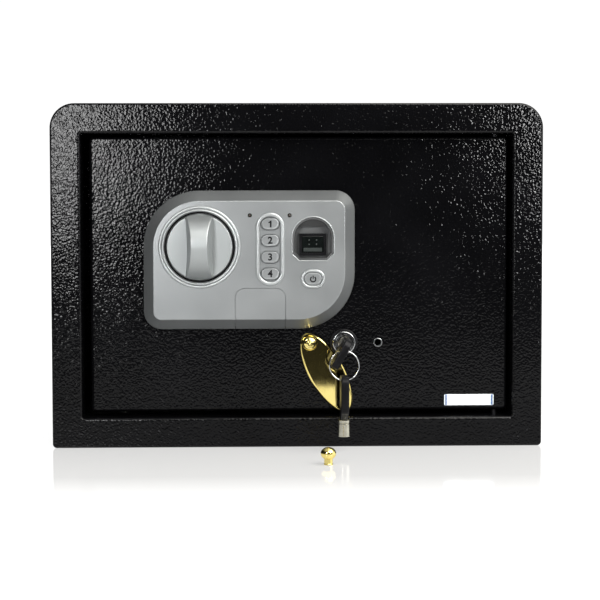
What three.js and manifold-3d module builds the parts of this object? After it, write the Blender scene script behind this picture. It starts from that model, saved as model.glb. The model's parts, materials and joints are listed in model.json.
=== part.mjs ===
// A small steel safe that opens at the front, with a fingerprint reader, a keypad,
// a turning knob and an emergency key lock under a brass cover plate.
// Millimetres. +X is right, +Y goes into the safe, +Z is up.
// The origin lies under the middle of the base.

import * as THREE from 'three';
import { mergeVertices } from 'three/addons/utils/BufferGeometryUtils.js';
import Module from 'manifold-3d';

const wasm = await Module();
wasm.setup();

// Driving sizes of the case

const fit = { gap: 0.3, running: 0.5, overrun: 1, seam: 0.05, sharp: 0.2, weld: 0.0001 };

const shell = {
  width: 350,
  depth: 250,
  height: 245,
  sheet: 2,
  topRadius: 17.5,
  bottomRadius: 3,
  edgeRadius: 1.5,
};

const anchor = { radius: 5, spacing: 180, height: 122, setBack: 60 };

const opening = {
  side: 21.4,
  top: 21.5,
  bottom: 21.4,
  cornerRadius: 1.2,
  foldRadius: 2.2,
  returnDepth: 24,
};

const mat = { thickness: 2, margin: 1 };

// Driving sizes of the door

const door = {
  leftGap: 5.5,
  rightGap: 2.6,
  topGap: 2.1,
  bottomGap: 3.6,
  recess: 10,
  plate: 4,
  sheet: 2,
  panDepth: 36,
  cornerRadius: 2.6,
  edgeRadius: 2,
};

const hinge = {
  fromEdge: 8,
  behindFace: 7,
  radius: 2.5,
  headRadius: 4.5,
  headHeight: 2,
  intoDoor: 6,
};

const innerCover = {
  thickness: 1.5,
  margin: 1,
  postRadius: 4,
  postInset: 12,
  screwRadius: 1.6,
  screwHeadRadius: 3.6,
  screwTopRadius: 2.9,
  screwHeadHeight: 2.2,
  screwLength: 9.5,
  slotWidth: 1,
  slotDepth: 0.9,
};

// Driving sizes of the control panel.
// The places of all that the door carries are measured from its lower left corner.

const panel = {
  left: 38.3,
  right: 189.2,
  bottom: 59.3,
  top: 158.3,
  height: 13,
  footHeight: 3,
  bevel: 7.5,
  ridge: 0.7,
  wall: 2,
  topLeftRadius: 40.2,
  topRightRadius: 14,
  bottomRightRadius: 36,
  bottomLeftRadius: 13,
};

const knob = {
  fromLeft: 40.3,
  fromTop: 40.1,
  radius: 23.3,
  groove: 1.7,
  proud: 1.2,
  thickness: 7.9,
  edge: 0.8,
  gripHeight: 16.5,
  gripWaist: 8,
  gripEnd: 10.2,
  gripDraft: 2.8,
  gripReach: 22.6,
  gripShoulder: 0.6,
};

const bezel = { width: 4.2, height: 1.8, grooveDepth: 0.6, innerBand: 2.2, round: 0.5 };

const knobWell = { wall: 2, floor: 1.6 };

const pad = {
  x: 128.6,
  top: 142.6,
  height: 51.9,
  width: 20.4,
  rimWidth: 2.8,
  rimHeight: 1,
  pocketDepth: 0.8,
  firstKeyDrop: 8.1,
  keyPitch: 11.8,
  keyCount: 4,
};

const key = {
  width: 12.7,
  height: 8.1,
  proud: 0.8,
  flange: 0.9,
  flangeThickness: 0.7,
  edge: 0.5,
  travel: 1,
};

const powerKey = { x: 159, z: 95.5, width: 12.6, height: 8.8, rimWidth: 2.4, rimHeight: 0.9 };

const lamp = { z: 140.6, leftX: 114.2, rightX: 142.4, radius: 1.25, holeRadius: 1.5, sunk: 0.4 };

const well = {
  x: 159,
  halfWidth: 14.6,
  bottom: 108.7,
  top: 139.2,
  chamfer: 4.8,
  rimWidth: 0.9,
  rimHeight: 0.4,
  wall: 0.9,
  depth: 8,
  floor: 1.1,
  floorInset: 2.2,
  ledgeZ: 132.6,
  ledgeDepth: 5.2,
  slopeRise: 3.4,
};

const sensor = {
  width: 19.2,
  height: 15.6,
  bottom: 112,
  thickness: 2.5,
  frame: 1.7,
  windowThickness: 0.8,
};

const flap = {
  left: 103.5,
  right: 139.6,
  top: 89.1,
  cornerRadius: 7,
  thickness: 1.6,
  backing: 1.6,
};

const port = { z: 76, radius: 4, flangeRadius: 5.6, flangeThickness: 2, boreRadius: 2.6, boreDepth: 3, pinRadius: 0.8 };

const board = { thickness: 1.5, left: 108.1, right: 172.1, bottom: 86, top: 145, setBack: 5.5, wellGap: 0.6 };

// Driving sizes of the bolt work inside the door

const crank = { throw: 10, hubRadius: 7.5, thickness: 3, pinRadius: 2.5, eyeRadius: 4.5, setBack: 3, play: 0.8 };

const shaft = { radius: 4 };

const carriage = {
  thickness: 3,
  behindCrank: 2.6,
  barWidth: 28,
  armHeight: 10,
  armBottom: 103,
  armRight: 195.1,
  lobeWidth: 20,
  lobeTop: 7.8,
  flangeHalfHeight: 11,
};

const bolt = { radius: 8, fromEdge: 40.2, behindReturn: 3, recessed: 1.5, length: 36, chamfer: 1.5 };

const stud = { radius: 2.5, headRadius: 5, headThickness: 1.5, fromEdge: 7, fromBolt: 20 };

const solenoid = {
  x: 189.1,
  bottom: 71,
  width: 22,
  depth: 20,
  height: 22,
  coreRadius: 3,
  rodRadius: 1.5,
  rodLength: 7,
  collarRadius: 4.5,
  collarThickness: 1.5,
  seatRadius: 4.8,
  seatThickness: 1.2,
  seatDrop: 2.5,
  springWall: 1.1,
};

const mainBoard = { fromRight: 36, width: 60, height: 48, bottom: 97, bossHeight: 4, bossRadius: 2.5, bossInset: 5 };

const ribbon = { x: 128.1, thickness: 1, bottom: 125, height: 10, lap: 7 };

const batteryBox = {
  fromRight: 28.4,
  bottom: 7,
  wall: 1.6,
  flange: 3,
  flangeThickness: 1.2,
  railThickness: 1.2,
  railLip: 4.5,
  lidThickness: 1.8,
  lidMargin: 0.5,
  gripLength: 24,
  gripHeight: 1.2,
  gripWidth: 2,
  gripFromTop: 9,
  gripCount: 3,
};

const cell = { radius: 7.25, length: 49.5, nubRadius: 2.7, nubHeight: 1, pitch: 15.2, count: 4 };

// Driving sizes of the emergency lock and what hangs on it

const lock = {
  x: 181.5,
  z: 49,
  faceProud: 3.6,
  faceRadius: 8.3,
  barrelRadius: 7.4,
  barrelLength: 16,
  bezelRadius: 9.9,
  bezelHeight: 2.4,
  nutRadius: 10.5,
  nutThickness: 4,
  edge: 0.4,
  noseSunk: 0.4,
};

const cam = { thickness: 2, hubRadius: 5.5, halfWidth: 2.5, noseHeight: 2.6, noseWidth: 4.6 };

const keyShape = {
  barrelRadius: 4.35,
  boreRadius: 3.3,
  boreDepth: 10,
  barrelLength: 11.9,
  inserted: 9,
  bowLength: 31.5,
  bowThickness: 5.6,
  bowNear: 4.5,
  bowFar: 17.5,
  endRadius: 5,
  shoulder: 10,
  edge: 0.8,
  holeRadius: 3,
  holeFromEnd: 5.2,
  holeOffset: 3.7,
  bowTurnDegrees: 29,
};

const keyRing = { radius: 10.3, wire: 0.6, leanDegrees: -2 };

const plate = {
  halfLength: 32,
  halfWidth: 12.7,
  roundness: 1.85,
  holeSpacing: 49.2,
  thickness: 1.5,
  standOff: 0.4,
  rim: 1.1,
  rimDrop: 0.6,
  dropDegrees: 61,
};

const coverScrew = {
  ballRadius: 5.2,
  ballHeight: 7.8,
  crownFlat: 1.4,
  waistRadius: 3.2,
  footRadius: 2.9,
  footLength: 4.1,
  shoulderRadius: 3.2,
  threadRadius: 2.2,
  threadLength: 5,
};

const insert = { radius: 3.1, proud: 0.3, length: 6.5 };

const looseScrew = { x: 18.2, inFront: 81 };

const label = { fromRight: 9.2, width: 35.8, bottom: 3.2, height: 8, thickness: 0.3, cornerRadius: 0.8 };

// How finely round shapes are faceted

const steps = {
  caseCorner: 6,
  doorCorner: 2,
  panelCorner: 7,
  pill: 4,
  lens: 36,
  arch: 10,
  crest: 10,
  grip: 4,
  ball: 7,
  bevel: 2,
};
const sides = { large: 40, medium: 28, small: 20, tiny: 12, wire: 6, nut: 6 };

// Finishes

const finish = {
  crinkle: { color: 0x141517, roughness: 0.42, metalness: 0.35 },
  innerPaint: { color: 0x202124, roughness: 0.6, metalness: 0.3 },
  felt: { color: 0x1c1d20, roughness: 0.98, metalness: 0 },
  zinc: { color: 0xb9bcc0, roughness: 0.35, metalness: 0.9 },
  silver: { color: 0xa9acae, roughness: 0.32, metalness: 0.55 },
  darkSilver: { color: 0x55585b, roughness: 0.4, metalness: 0.4 },
  brass: { color: 0xd9a92e, roughness: 0.14, metalness: 1 },
  chrome: { color: 0xd2d6d8, roughness: 0.1, metalness: 1 },
  blackPlastic: { color: 0x161617, roughness: 0.45, metalness: 0 },
  glass: { color: 0x0b0e0f, roughness: 0.08, metalness: 0 },
  greenBoard: { color: 0x1d5a34, roughness: 0.5, metalness: 0.1 },
  lampGreen: { color: 0x24402a, roughness: 0.2, metalness: 0 },
  lampRed: { color: 0x47201e, roughness: 0.2, metalness: 0 },
  paper: { color: 0xe9edf0, roughness: 0.55, metalness: 0 },
  ribbonGrey: { color: 0x9a9da3, roughness: 0.5, metalness: 0 },
  cellWrap: { color: 0x2f6b50, roughness: 0.35, metalness: 0.2 },
  nylon: { color: 0xe6e4dc, roughness: 0.5, metalness: 0 },
};

// Places worked out from the driving sizes

const front = -shell.depth / 2;
const back = shell.depth / 2;
const quarter = Math.PI / 2;
const degree = Math.PI / 180;

const shellArea = { left: -shell.width / 2, right: shell.width / 2, bottom: 0, top: shell.height };
const shellRadii = {
  topLeft: shell.topRadius,
  topRight: shell.topRadius,
  bottomRight: shell.bottomRadius,
  bottomLeft: shell.bottomRadius,
};

const openingArea = {
  left: shellArea.left + opening.side,
  right: shellArea.right - opening.side,
  bottom: opening.bottom,
  top: shellArea.top - opening.top,
};

const doorArea = {
  left: openingArea.left + door.leftGap,
  right: openingArea.right - door.rightGap,
  bottom: openingArea.bottom + door.bottomGap,
  top: openingArea.top - door.topGap,
};
const face = front + door.recess;
const plateBack = face + door.plate;
const panBack = face + door.panDepth;
const coverBack = panBack + innerCover.thickness;
const hingeAxis = { x: doorArea.right - hinge.fromEdge, y: face + hinge.behindFace };

const doorX = (x) => doorArea.left + x;
const doorZ = (z) => doorArea.bottom + z;
const panelArea = {
  left: doorX(panel.left),
  right: doorX(panel.right),
  bottom: doorZ(panel.bottom),
  top: doorZ(panel.top),
};
const padPlace = { x: doorX(pad.x), top: doorZ(pad.top) };
const powerPlace = { x: doorX(powerKey.x), z: doorZ(powerKey.z) };
const lampPlace = { leftX: doorX(lamp.leftX), rightX: doorX(lamp.rightX), z: doorZ(lamp.z) };
const wellPlace = { x: doorX(well.x), bottom: doorZ(well.bottom), top: doorZ(well.top), ledgeZ: doorZ(well.ledgeZ) };
const solenoidPlace = { x: doorX(solenoid.x), bottom: doorZ(solenoid.bottom) };
const lockPlace = { x: doorX(lock.x), z: doorZ(lock.z) };

const plateau = face - panel.height;
const knobCentre = { x: panelArea.left + knob.fromLeft, z: panelArea.top - knob.fromTop };
const knobFace = plateau - knob.proud;
const knobBack = knobFace + knob.thickness;
const boardFront = plateau + board.setBack;

const crankFront = plateBack + crank.setBack;
const crankBack = crankFront + crank.thickness;
const carriageFront = crankBack + crank.setBack - fit.gap;
const carriageBack = carriageFront + carriage.thickness;
const stroke = 2 * crank.throw * Math.sin(quarter / 2);
const pinRest = { x: knobCentre.x + stroke / 2, z: knobCentre.z + stroke / 2 };
const boltY = front + opening.returnDepth + bolt.behindReturn + bolt.radius;
const boltTip = doorArea.left + bolt.recessed;
const boltRoot = boltTip + bolt.length;
const boltHeights = [doorArea.bottom + bolt.fromEdge, doorArea.top - bolt.fromEdge];
const armBottom = doorZ(carriage.armBottom);

const lockFace = face - lock.faceProud;
const bowShoulder = lockFace - (keyShape.barrelLength - keyShape.inserted);
const bowHole = bowShoulder - keyShape.bowLength + keyShape.holeFromEnd;
const plugFront = bowShoulder + keyShape.barrelLength + fit.gap;
const lockBack = lockFace + lock.barrelLength;
const plateFront = face - plate.standOff - plate.thickness;

// Outlines are lists of points that run anticlockwise, seen from the front

function roundedLoop(area, radii, count) {
  const corners = [
    { x: area.left, z: area.bottom, radius: radii.bottomLeft, inX: 1, inZ: 1, start: 2 * quarter },
    { x: area.right, z: area.bottom, radius: radii.bottomRight, inX: -1, inZ: 1, start: 3 * quarter },
    { x: area.right, z: area.top, radius: radii.topRight, inX: -1, inZ: -1, start: 0 },
    { x: area.left, z: area.top, radius: radii.topLeft, inX: 1, inZ: -1, start: quarter },
  ];
  return corners.flatMap((corner) => Array.from({ length: count + 1 }, (_, i) => {
    const turn = corner.start + (i / count) * quarter;
    return new THREE.Vector2(
      corner.x + corner.radius * (corner.inX + Math.cos(turn)),
      corner.z + corner.radius * (corner.inZ + Math.sin(turn)),
    );
  }));
}

function inset(area, distance) {
  return {
    left: area.left + distance,
    right: area.right - distance,
    bottom: area.bottom + distance,
    top: area.top - distance,
  };
}

function insetRadii(radii, distance) {
  const smaller = Object.entries(radii).map(([name, radius]) => [name, Math.max(radius - distance, fit.sharp)]);
  return Object.fromEntries(smaller);
}

function evenRadii(radius) {
  return { topLeft: radius, topRight: radius, bottomRight: radius, bottomLeft: radius };
}

function insetLoop(area, radii, distance, count) {
  return roundedLoop(inset(area, distance), insetRadii(radii, distance), count);
}

function areaAround(x, z, width, height) {
  return { left: x - width / 2, right: x + width / 2, bottom: z - height / 2, top: z + height / 2 };
}

function pillLoop(area, distance) {
  const radius = Math.min(area.right - area.left, area.top - area.bottom) / 2;
  return insetLoop(area, evenRadii(radius), distance, steps.pill);
}

function boxLoop(area) {
  return [
    new THREE.Vector2(area.left, area.bottom),
    new THREE.Vector2(area.right, area.bottom),
    new THREE.Vector2(area.right, area.top),
    new THREE.Vector2(area.left, area.top),
  ];
}

function circleLoop(x, z, radius, count) {
  return Array.from({ length: count }, (_, i) => {
    const turn = (i / count) * 4 * quarter;
    return new THREE.Vector2(x + radius * Math.cos(turn), z + radius * Math.sin(turn));
  });
}

// Solids

function ringAt(loop, y) {
  return loop.map((point) => new THREE.Vector3(point.x, y, point.y));
}

// Joins rings of points from front to back into one closed skin.
// A looped skin joins the last ring to the first, and the others are capped.
function skin(rings, looped = false) {
  const count = rings[0].length;
  const positions = rings.flat().flatMap((point) => [point.x, point.y, point.z]);
  const indices = [];
  const joined = looped ? rings.length : rings.length - 1;
  for (let r = 0; r < joined; r += 1) {
    const near = r * count;
    const far = ((r + 1) % rings.length) * count;
    for (let i = 0; i < count; i += 1) {
      const next = (i + 1) % count;
      indices.push(near + i, far + next, near + next);
      indices.push(near + i, far + i, far + next);
    }
  }
  if (!looped) {
    const flat = (ring) => ring.map((point) => new THREE.Vector2(point.x, point.z));
    const last = (rings.length - 1) * count;
    THREE.ShapeUtils.triangulateShape(flat(rings[0]), []).forEach(([a, b, c]) => indices.push(a, b, c));
    THREE.ShapeUtils.triangulateShape(flat(rings.at(-1)), [])
      .forEach(([a, b, c]) => indices.push(last + a, last + c, last + b));
  }
  const geometry = new THREE.BufferGeometry();
  geometry.setAttribute('position', new THREE.Float32BufferAttribute(positions, 3));
  geometry.setIndex(indices);
  geometry.computeVertexNormals();
  return geometry;
}

function extruded(outline, depth, holes = []) {
  const shape = new THREE.Shape(outline);
  shape.holes = holes.map((hole) => new THREE.Path(hole));
  return new THREE.ExtrudeGeometry(shape, { depth, bevelEnabled: false });
}

// A sheet across the view, between two depths
function sheetY(outline, near, far, holes = []) {
  return extruded(outline, far - near, holes).rotateX(quarter).translate(0, far, 0);
}

// A bar along X, with its outline drawn in Y and Z
function barX(outline, low, high) {
  const axes = [new THREE.Vector3(0, 1, 0), new THREE.Vector3(0, 0, 1), new THREE.Vector3(1, 0, 0)];
  const turn = new THREE.Matrix4().makeBasis(...axes);
  return extruded(outline, high - low).applyMatrix4(turn).translate(low, 0, 0);
}

// A bar along Z, with its outline drawn in X and Y
function barZ(outline, low, high) {
  return extruded(outline, high - low).translate(0, 0, low);
}

function block(x, y, z) {
  const size = [x[1] - x[0], y[1] - y[0], z[1] - z[0]];
  const middle = [(x[0] + x[1]) / 2, (y[0] + y[1]) / 2, (z[0] + z[1]) / 2];
  return new THREE.BoxGeometry(...size).translate(...middle);
}

function rodX(radius, low, high, y, z, count) {
  const rod = new THREE.CylinderGeometry(radius, radius, high - low, count);
  return rod.rotateZ(quarter).translate((low + high) / 2, y, z);
}

function rodY(radius, near, far, x, z, count) {
  return new THREE.CylinderGeometry(radius, radius, far - near, count).translate(x, (near + far) / 2, z);
}

function rodZ(radius, low, high, x, y, count) {
  const rod = new THREE.CylinderGeometry(radius, radius, high - low, count);
  return rod.rotateX(quarter).translate(x, y, (low + high) / 2);
}

// A turned piece about the Y axis. Its profile holds pairs of radius and depth, from front to back.
function turned(profile, count) {
  return new THREE.LatheGeometry(profile.map(([radius, y]) => new THREE.Vector2(radius, y)), count);
}

function turnedRing(profile, count) {
  return turned([...profile, profile[0]], count);
}

// Joins and cuts

function toSolid(geometry) {
  const bare = geometry.clone();
  bare.deleteAttribute('normal');
  bare.deleteAttribute('uv');
  const merged = mergeVertices(bare, fit.weld);
  const corners = merged.index.array;
  const whole = [];
  for (let i = 0; i < corners.length; i += 3) {
    const [a, b, c] = corners.slice(i, i + 3);
    if (a !== b && b !== c && c !== a) whole.push(a, b, c);
  }
  return new wasm.Manifold(new wasm.Mesh({
    numProp: 3,
    vertProperties: new Float32Array(merged.attributes.position.array),
    triVerts: new Uint32Array(whole),
  }));
}

function toGeometry(solid) {
  const mesh = solid.getMesh();
  const geometry = new THREE.BufferGeometry();
  geometry.setAttribute('position', new THREE.Float32BufferAttribute(mesh.vertProperties, 3));
  geometry.setIndex(new THREE.Uint32BufferAttribute(mesh.triVerts, 1));
  geometry.computeVertexNormals();
  return geometry;
}

function cut(base, tools) {
  return toGeometry(tools.reduce((solid, tool) => solid.subtract(toSolid(tool)), toSolid(base)));
}

function join(base, extras) {
  return toGeometry(extras.reduce((solid, extra) => solid.add(toSolid(extra)), toSolid(base)));
}

function common(first, second) {
  return toGeometry(toSolid(first).intersect(toSolid(second)));
}

function part(name, geometry, look) {
  const mesh = new THREE.Mesh(geometry, new THREE.MeshStandardMaterial(look));
  mesh.name = name;
  return mesh;
}

// The share of a corner radius that a chamfer face in the middle of a rounded edge stands in
const roundShare = 1 - Math.SQRT1_2;

// Case

function shellLoop(distance) {
  return insetLoop(shellArea, shellRadii, distance, steps.caseCorner);
}

function openingLoop(distance) {
  return insetLoop(openingArea, evenRadii(opening.cornerRadius), -distance, steps.caseCorner);
}

function makeBaseHoles([low, high]) {
  return [-1, 1].map((side) => rodZ(
    anchor.radius, low - fit.overrun, high + fit.overrun,
    side * anchor.spacing / 2, back - anchor.setBack, sides.small,
  ));
}

function makeShell() {
  const near = front + shell.sheet;
  const far = back - shell.sheet;
  const sleeve = skin([
    ringAt(shellLoop(0), near),
    ringAt(shellLoop(0), far),
    ringAt(shellLoop(shell.sheet), far),
    ringAt(shellLoop(shell.sheet), near),
  ], true);
  return part('body_shell', cut(sleeve, makeBaseHoles([0, shell.sheet])), finish.crinkle);
}

function makeFrontFrame() {
  const plateRear = front + shell.sheet;
  const returnEnd = front + opening.returnDepth;
  const edge = shell.edgeRadius;
  const fold = opening.foldRadius;
  const frame = skin([
    ringAt(shellLoop(edge), front),
    ringAt(shellLoop(edge * roundShare), front + edge * roundShare),
    ringAt(shellLoop(0), front + edge),
    ringAt(shellLoop(0), plateRear),
    ringAt(openingLoop(shell.sheet), plateRear),
    ringAt(openingLoop(shell.sheet), returnEnd),
    ringAt(openingLoop(0), returnEnd),
    ringAt(openingLoop(0), front + fold),
    ringAt(openingLoop(fold * roundShare), front + fold * roundShare),
    ringAt(openingLoop(fold), front),
  ], true);
  const pinHoles = [
    [openingArea.bottom - shell.sheet, openingArea.bottom],
    [openingArea.top, openingArea.top + shell.sheet],
  ].map(([low, high]) => rodZ(
    hinge.radius + fit.gap, low - fit.overrun, high + fit.overrun, hingeAxis.x, hingeAxis.y, sides.tiny,
  ));
  return part('front_frame', cut(frame, pinHoles), finish.crinkle);
}

function makeBackPanel() {
  const edge = shell.edgeRadius;
  const panelForm = skin([
    ringAt(shellLoop(0), back - shell.sheet),
    ringAt(shellLoop(0), back - edge),
    ringAt(shellLoop(edge * roundShare), back - edge * roundShare),
    ringAt(shellLoop(edge), back),
  ]);
  const holes = [-1, 1].map((side) => rodY(
    anchor.radius, back - shell.sheet - fit.overrun, back + fit.overrun,
    side * anchor.spacing / 2, anchor.height, sides.small,
  ));
  return part('back_panel', cut(panelForm, holes), finish.crinkle);
}

function makeFloorMat() {
  const inner = inset(shellArea, shell.sheet + mat.margin);
  const near = front + shell.sheet + mat.margin;
  const far = back - shell.sheet - mat.margin;
  const floor = [shell.sheet, shell.sheet + mat.thickness];
  const sheet = block([inner.left, inner.right], [near, far], floor);
  return part('floor_mat', cut(sheet, makeBaseHoles(floor)), finish.felt);
}

// A pin with its head outside the return wall and its tip inside the door.
// The profile runs up from the bottom, and the upper pin is the same piece turned over.
function makeHingePin(name, upper) {
  const wall = upper ? openingArea.top + shell.sheet : openingArea.bottom - shell.sheet;
  const tip = upper ? doorArea.top - hinge.intoDoor : doorArea.bottom + hinge.intoDoor;
  const reach = Math.abs(tip - wall);
  const pin = turned([
    [0, -hinge.headHeight],
    [hinge.headRadius, -hinge.headHeight],
    [hinge.headRadius, 0],
    [hinge.radius, 0],
    [hinge.radius, reach],
    [0, reach],
  ], sides.tiny).rotateX(upper ? -quarter : quarter);
  return part(name, pin.translate(hingeAxis.x, hingeAxis.y, wall), finish.zinc);
}

// Door

function doorLoop(distance) {
  return insetLoop(doorArea, evenRadii(door.cornerRadius), distance, steps.doorCorner);
}

const postPlaces = [
  [doorArea.left + innerCover.postInset, doorArea.bottom + innerCover.postInset],
  [doorArea.right - innerCover.postInset, doorArea.bottom + innerCover.postInset],
  [doorArea.right - innerCover.postInset, doorArea.top - innerCover.postInset],
  [doorArea.left + innerCover.postInset, doorArea.top - innerCover.postInset],
];

const mainBoardArea = {
  left: doorArea.right - mainBoard.fromRight - mainBoard.width,
  right: doorArea.right - mainBoard.fromRight,
  bottom: doorZ(mainBoard.bottom),
  top: doorZ(mainBoard.bottom) + mainBoard.height,
};
const mainBoardFront = plateBack + mainBoard.bossHeight;
const mainBoardBack = mainBoardFront + board.thickness;

const ribbonHole = areaAround(
  doorX(ribbon.x), doorZ(ribbon.bottom) + ribbon.height / 2,
  ribbon.thickness + 2 * fit.overrun, ribbon.height + 2 * fit.overrun,
);

const screwHoles = [-1, 1].map((side) => lockPlace.x + side * plate.holeSpacing / 2);

function makeDoorPanel() {
  const edge = door.edgeRadius;
  const pan = skin([
    ringAt(doorLoop(edge), face),
    ringAt(doorLoop(edge * roundShare), face + edge * roundShare),
    ringAt(doorLoop(0), face + edge),
    ringAt(doorLoop(0), panBack),
  ]);
  const inside = inset(doorArea, door.sheet);
  const hollow = block(
    [inside.left, inside.right], [plateBack, panBack + fit.overrun], [inside.bottom, inside.top],
  );
  const through = (radius, x, z, count) => rodY(
    radius, face - fit.overrun, plateBack + fit.overrun, x, z, count,
  );
  const posts = postPlaces.map(([x, z]) => rodY(innerCover.postRadius, plateBack, panBack, x, z, sides.tiny));
  const bossArea = inset(mainBoardArea, mainBoard.bossInset);
  const bosses = boxLoop(bossArea).map(({ x, y }) => rodY(
    mainBoard.bossRadius, plateBack, mainBoardFront, x, y, sides.tiny,
  ));
  const boltHoles = boltHeights.map((z) => rodX(
    bolt.radius + fit.gap, doorArea.left - fit.overrun, inside.left + fit.overrun, boltY, z, sides.small,
  ));
  const pinHoles = [
    [doorArea.bottom, inside.bottom],
    [inside.top, doorArea.top],
  ].map(([low, high]) => rodZ(
    hinge.radius + fit.gap, low - fit.overrun, high + fit.overrun, hingeAxis.x, hingeAxis.y, sides.tiny,
  ));
  const screwBores = postPlaces.map(([x, z]) => rodY(
    innerCover.screwRadius + fit.gap, panBack - innerCover.screwLength - fit.overrun, panBack + fit.overrun,
    x, z, sides.tiny,
  ));
  const solid = join(cut(pan, [hollow]), [...posts, ...bosses]);
  return part('door_panel', cut(solid, [
    ...boltHoles,
    ...pinHoles,
    ...screwBores,
    through(coverScrew.threadRadius + fit.gap, screwHoles[0], lockPlace.z, sides.small),
    through(insert.radius + fit.gap, screwHoles[1], lockPlace.z, sides.small),
    through(shaft.radius + fit.gap, knobCentre.x, knobCentre.z, sides.small),
    through(lock.barrelRadius + fit.gap, lockPlace.x, lockPlace.z, sides.medium),
    sheetY(boxLoop(ribbonHole), face - fit.overrun, plateBack + fit.overrun),
  ]), finish.crinkle);
}

function makeInnerCover() {
  const sheet = sheetY(doorLoop(innerCover.margin), panBack, coverBack);
  const mouth = sheetY(
    boxLoop(inset(batteryArea, -fit.gap)), panBack - fit.overrun, coverBack + fit.overrun,
  );
  const holes = postPlaces.map(([x, z]) => rodY(
    innerCover.screwRadius + fit.gap, panBack - fit.overrun, coverBack + fit.overrun, x, z, sides.tiny,
  ));
  return part('door_inner_cover', cut(sheet, [mouth, ...holes]), finish.innerPaint);
}

function makeCoverPostScrews() {
  return postPlaces.map(([x, z], i) => {
    const top = coverBack + innerCover.screwHeadHeight;
    const screw = turned([
      [0, coverBack - innerCover.screwLength],
      [innerCover.screwRadius, coverBack - innerCover.screwLength],
      [innerCover.screwRadius, coverBack],
      [innerCover.screwHeadRadius, coverBack],
      [innerCover.screwHeadRadius, coverBack + innerCover.screwHeadHeight / 2],
      [innerCover.screwTopRadius, top],
      [0, top],
    ], sides.tiny);
    const across = innerCover.slotWidth / 2;
    const slot = (wide, tall) => block(
      [-wide, wide], [top - innerCover.slotDepth, top + fit.overrun], [-tall, tall],
    );
    const reach = innerCover.screwHeadRadius / 2;
    const head = cut(screw, [slot(reach, across), slot(across, reach)]);
    const mesh = part(`inner_cover_screw_${i + 1}`, head, finish.zinc);
    mesh.position.set(x, 0, z);
    return mesh;
  });
}

// Battery box, cells and lid

const batteryInside = {
  width: cell.pitch * cell.count + fit.gap * 2,
  height: cell.length + cell.nubHeight * 2 + fit.gap * 2,
  depth: cell.radius * 2 + fit.gap,
};
const batteryArea = {
  left: doorArea.right - batteryBox.fromRight - batteryInside.width - 2 * batteryBox.wall,
  right: doorArea.right - batteryBox.fromRight,
  bottom: doorZ(batteryBox.bottom),
  top: doorZ(batteryBox.bottom) + batteryInside.height + 2 * batteryBox.wall,
};
const boxFloor = coverBack - batteryInside.depth;
const flangeBack = coverBack + batteryBox.flangeThickness;
const lidFront = flangeBack + fit.gap;
const lidBack = lidFront + batteryBox.lidThickness;

function makeBatteryBox() {
  const cavity = inset(batteryArea, batteryBox.wall);
  const rim = inset(batteryArea, -batteryBox.flange);
  const body = join(sheetY(boxLoop(batteryArea), boxFloor - batteryBox.wall, flangeBack), [
    sheetY(boxLoop(rim), coverBack, flangeBack),
  ]);
  const lipFront = lidBack + fit.gap;
  const rails = [
    { outer: rim.left, side: 1 },
    { outer: rim.right, side: -1 },
  ].flatMap(({ outer, side }) => {
    const wall = [outer, outer + side * (batteryBox.flange - batteryBox.lidMargin - fit.gap)];
    const lip = [outer, outer + side * batteryBox.railLip];
    const along = [rim.bottom, rim.top];
    const ordered = (pair) => [...pair].sort((a, b) => a - b);
    return [
      block(ordered(wall), [flangeBack - fit.gap, lipFront + batteryBox.railThickness], along),
      block(ordered(lip), [lipFront, lipFront + batteryBox.railThickness], along),
    ];
  });
  const hollow = sheetY(boxLoop(cavity), boxFloor, flangeBack + fit.overrun);
  return part('battery_box', cut(join(body, rails), [hollow]), finish.blackPlastic);
}

function makeBatteryLid() {
  const area = inset(batteryArea, -batteryBox.lidMargin);
  const lid = sheetY(boxLoop(area), lidFront, lidBack);
  const middle = (area.left + area.right) / 2;
  const ribs = Array.from({ length: batteryBox.gripCount }, (_, i) => {
    const z = area.top - batteryBox.gripFromTop - 2 * i * batteryBox.gripWidth;
    const reach = batteryBox.gripLength / 2;
    return block(
      [middle - reach, middle + reach], [lidBack - fit.gap, lidBack + batteryBox.gripHeight],
      [z, z + batteryBox.gripWidth],
    );
  });
  return part('battery_lid', join(lid, ribs), finish.blackPlastic);
}

function makeCells() {
  const middleY = boxFloor + cell.radius + fit.gap / 2;
  const bottom = batteryArea.bottom + batteryBox.wall + fit.gap;
  return Array.from({ length: cell.count }, (_, i) => {
    const body = turned([
      [0, 0],
      [cell.radius - cell.nubHeight, 0],
      [cell.radius, cell.nubHeight],
      [cell.radius, cell.length],
      [cell.nubRadius, cell.length],
      [cell.nubRadius, cell.length + cell.nubHeight],
      [0, cell.length + cell.nubHeight],
    ], sides.tiny).rotateX(quarter);
    const mesh = part(`battery_${i + 1}`, body, finish.cellWrap);
    const first = batteryArea.left + batteryBox.wall + fit.gap + cell.pitch / 2;
    mesh.position.set(first + i * cell.pitch, middleY, bottom);
    return mesh;
  });
}

// Boards and the ribbon between them

function makeControlBoard() {
  const left = doorX(board.left);
  const right = doorX(board.right);
  const notchLeft = wellPlace.x - well.halfWidth - board.wellGap / 2;
  const notchBottom = wellPlace.bottom - board.wellGap - well.chamfer / 2;
  const outline = [
    [left, doorZ(board.bottom)],
    [right, doorZ(board.bottom)],
    [right, notchBottom],
    [notchLeft, notchBottom],
    [notchLeft, doorZ(board.top)],
    [left, doorZ(board.top)],
  ].map(([x, z]) => new THREE.Vector2(x, z));
  return part('control_board', sheetY(outline, boardFront, boardFront + board.thickness), finish.greenBoard);
}

function makeMainBoard() {
  return part('main_board', sheetY(boxLoop(mainBoardArea), mainBoardFront, mainBoardBack), finish.greenBoard);
}

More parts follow.
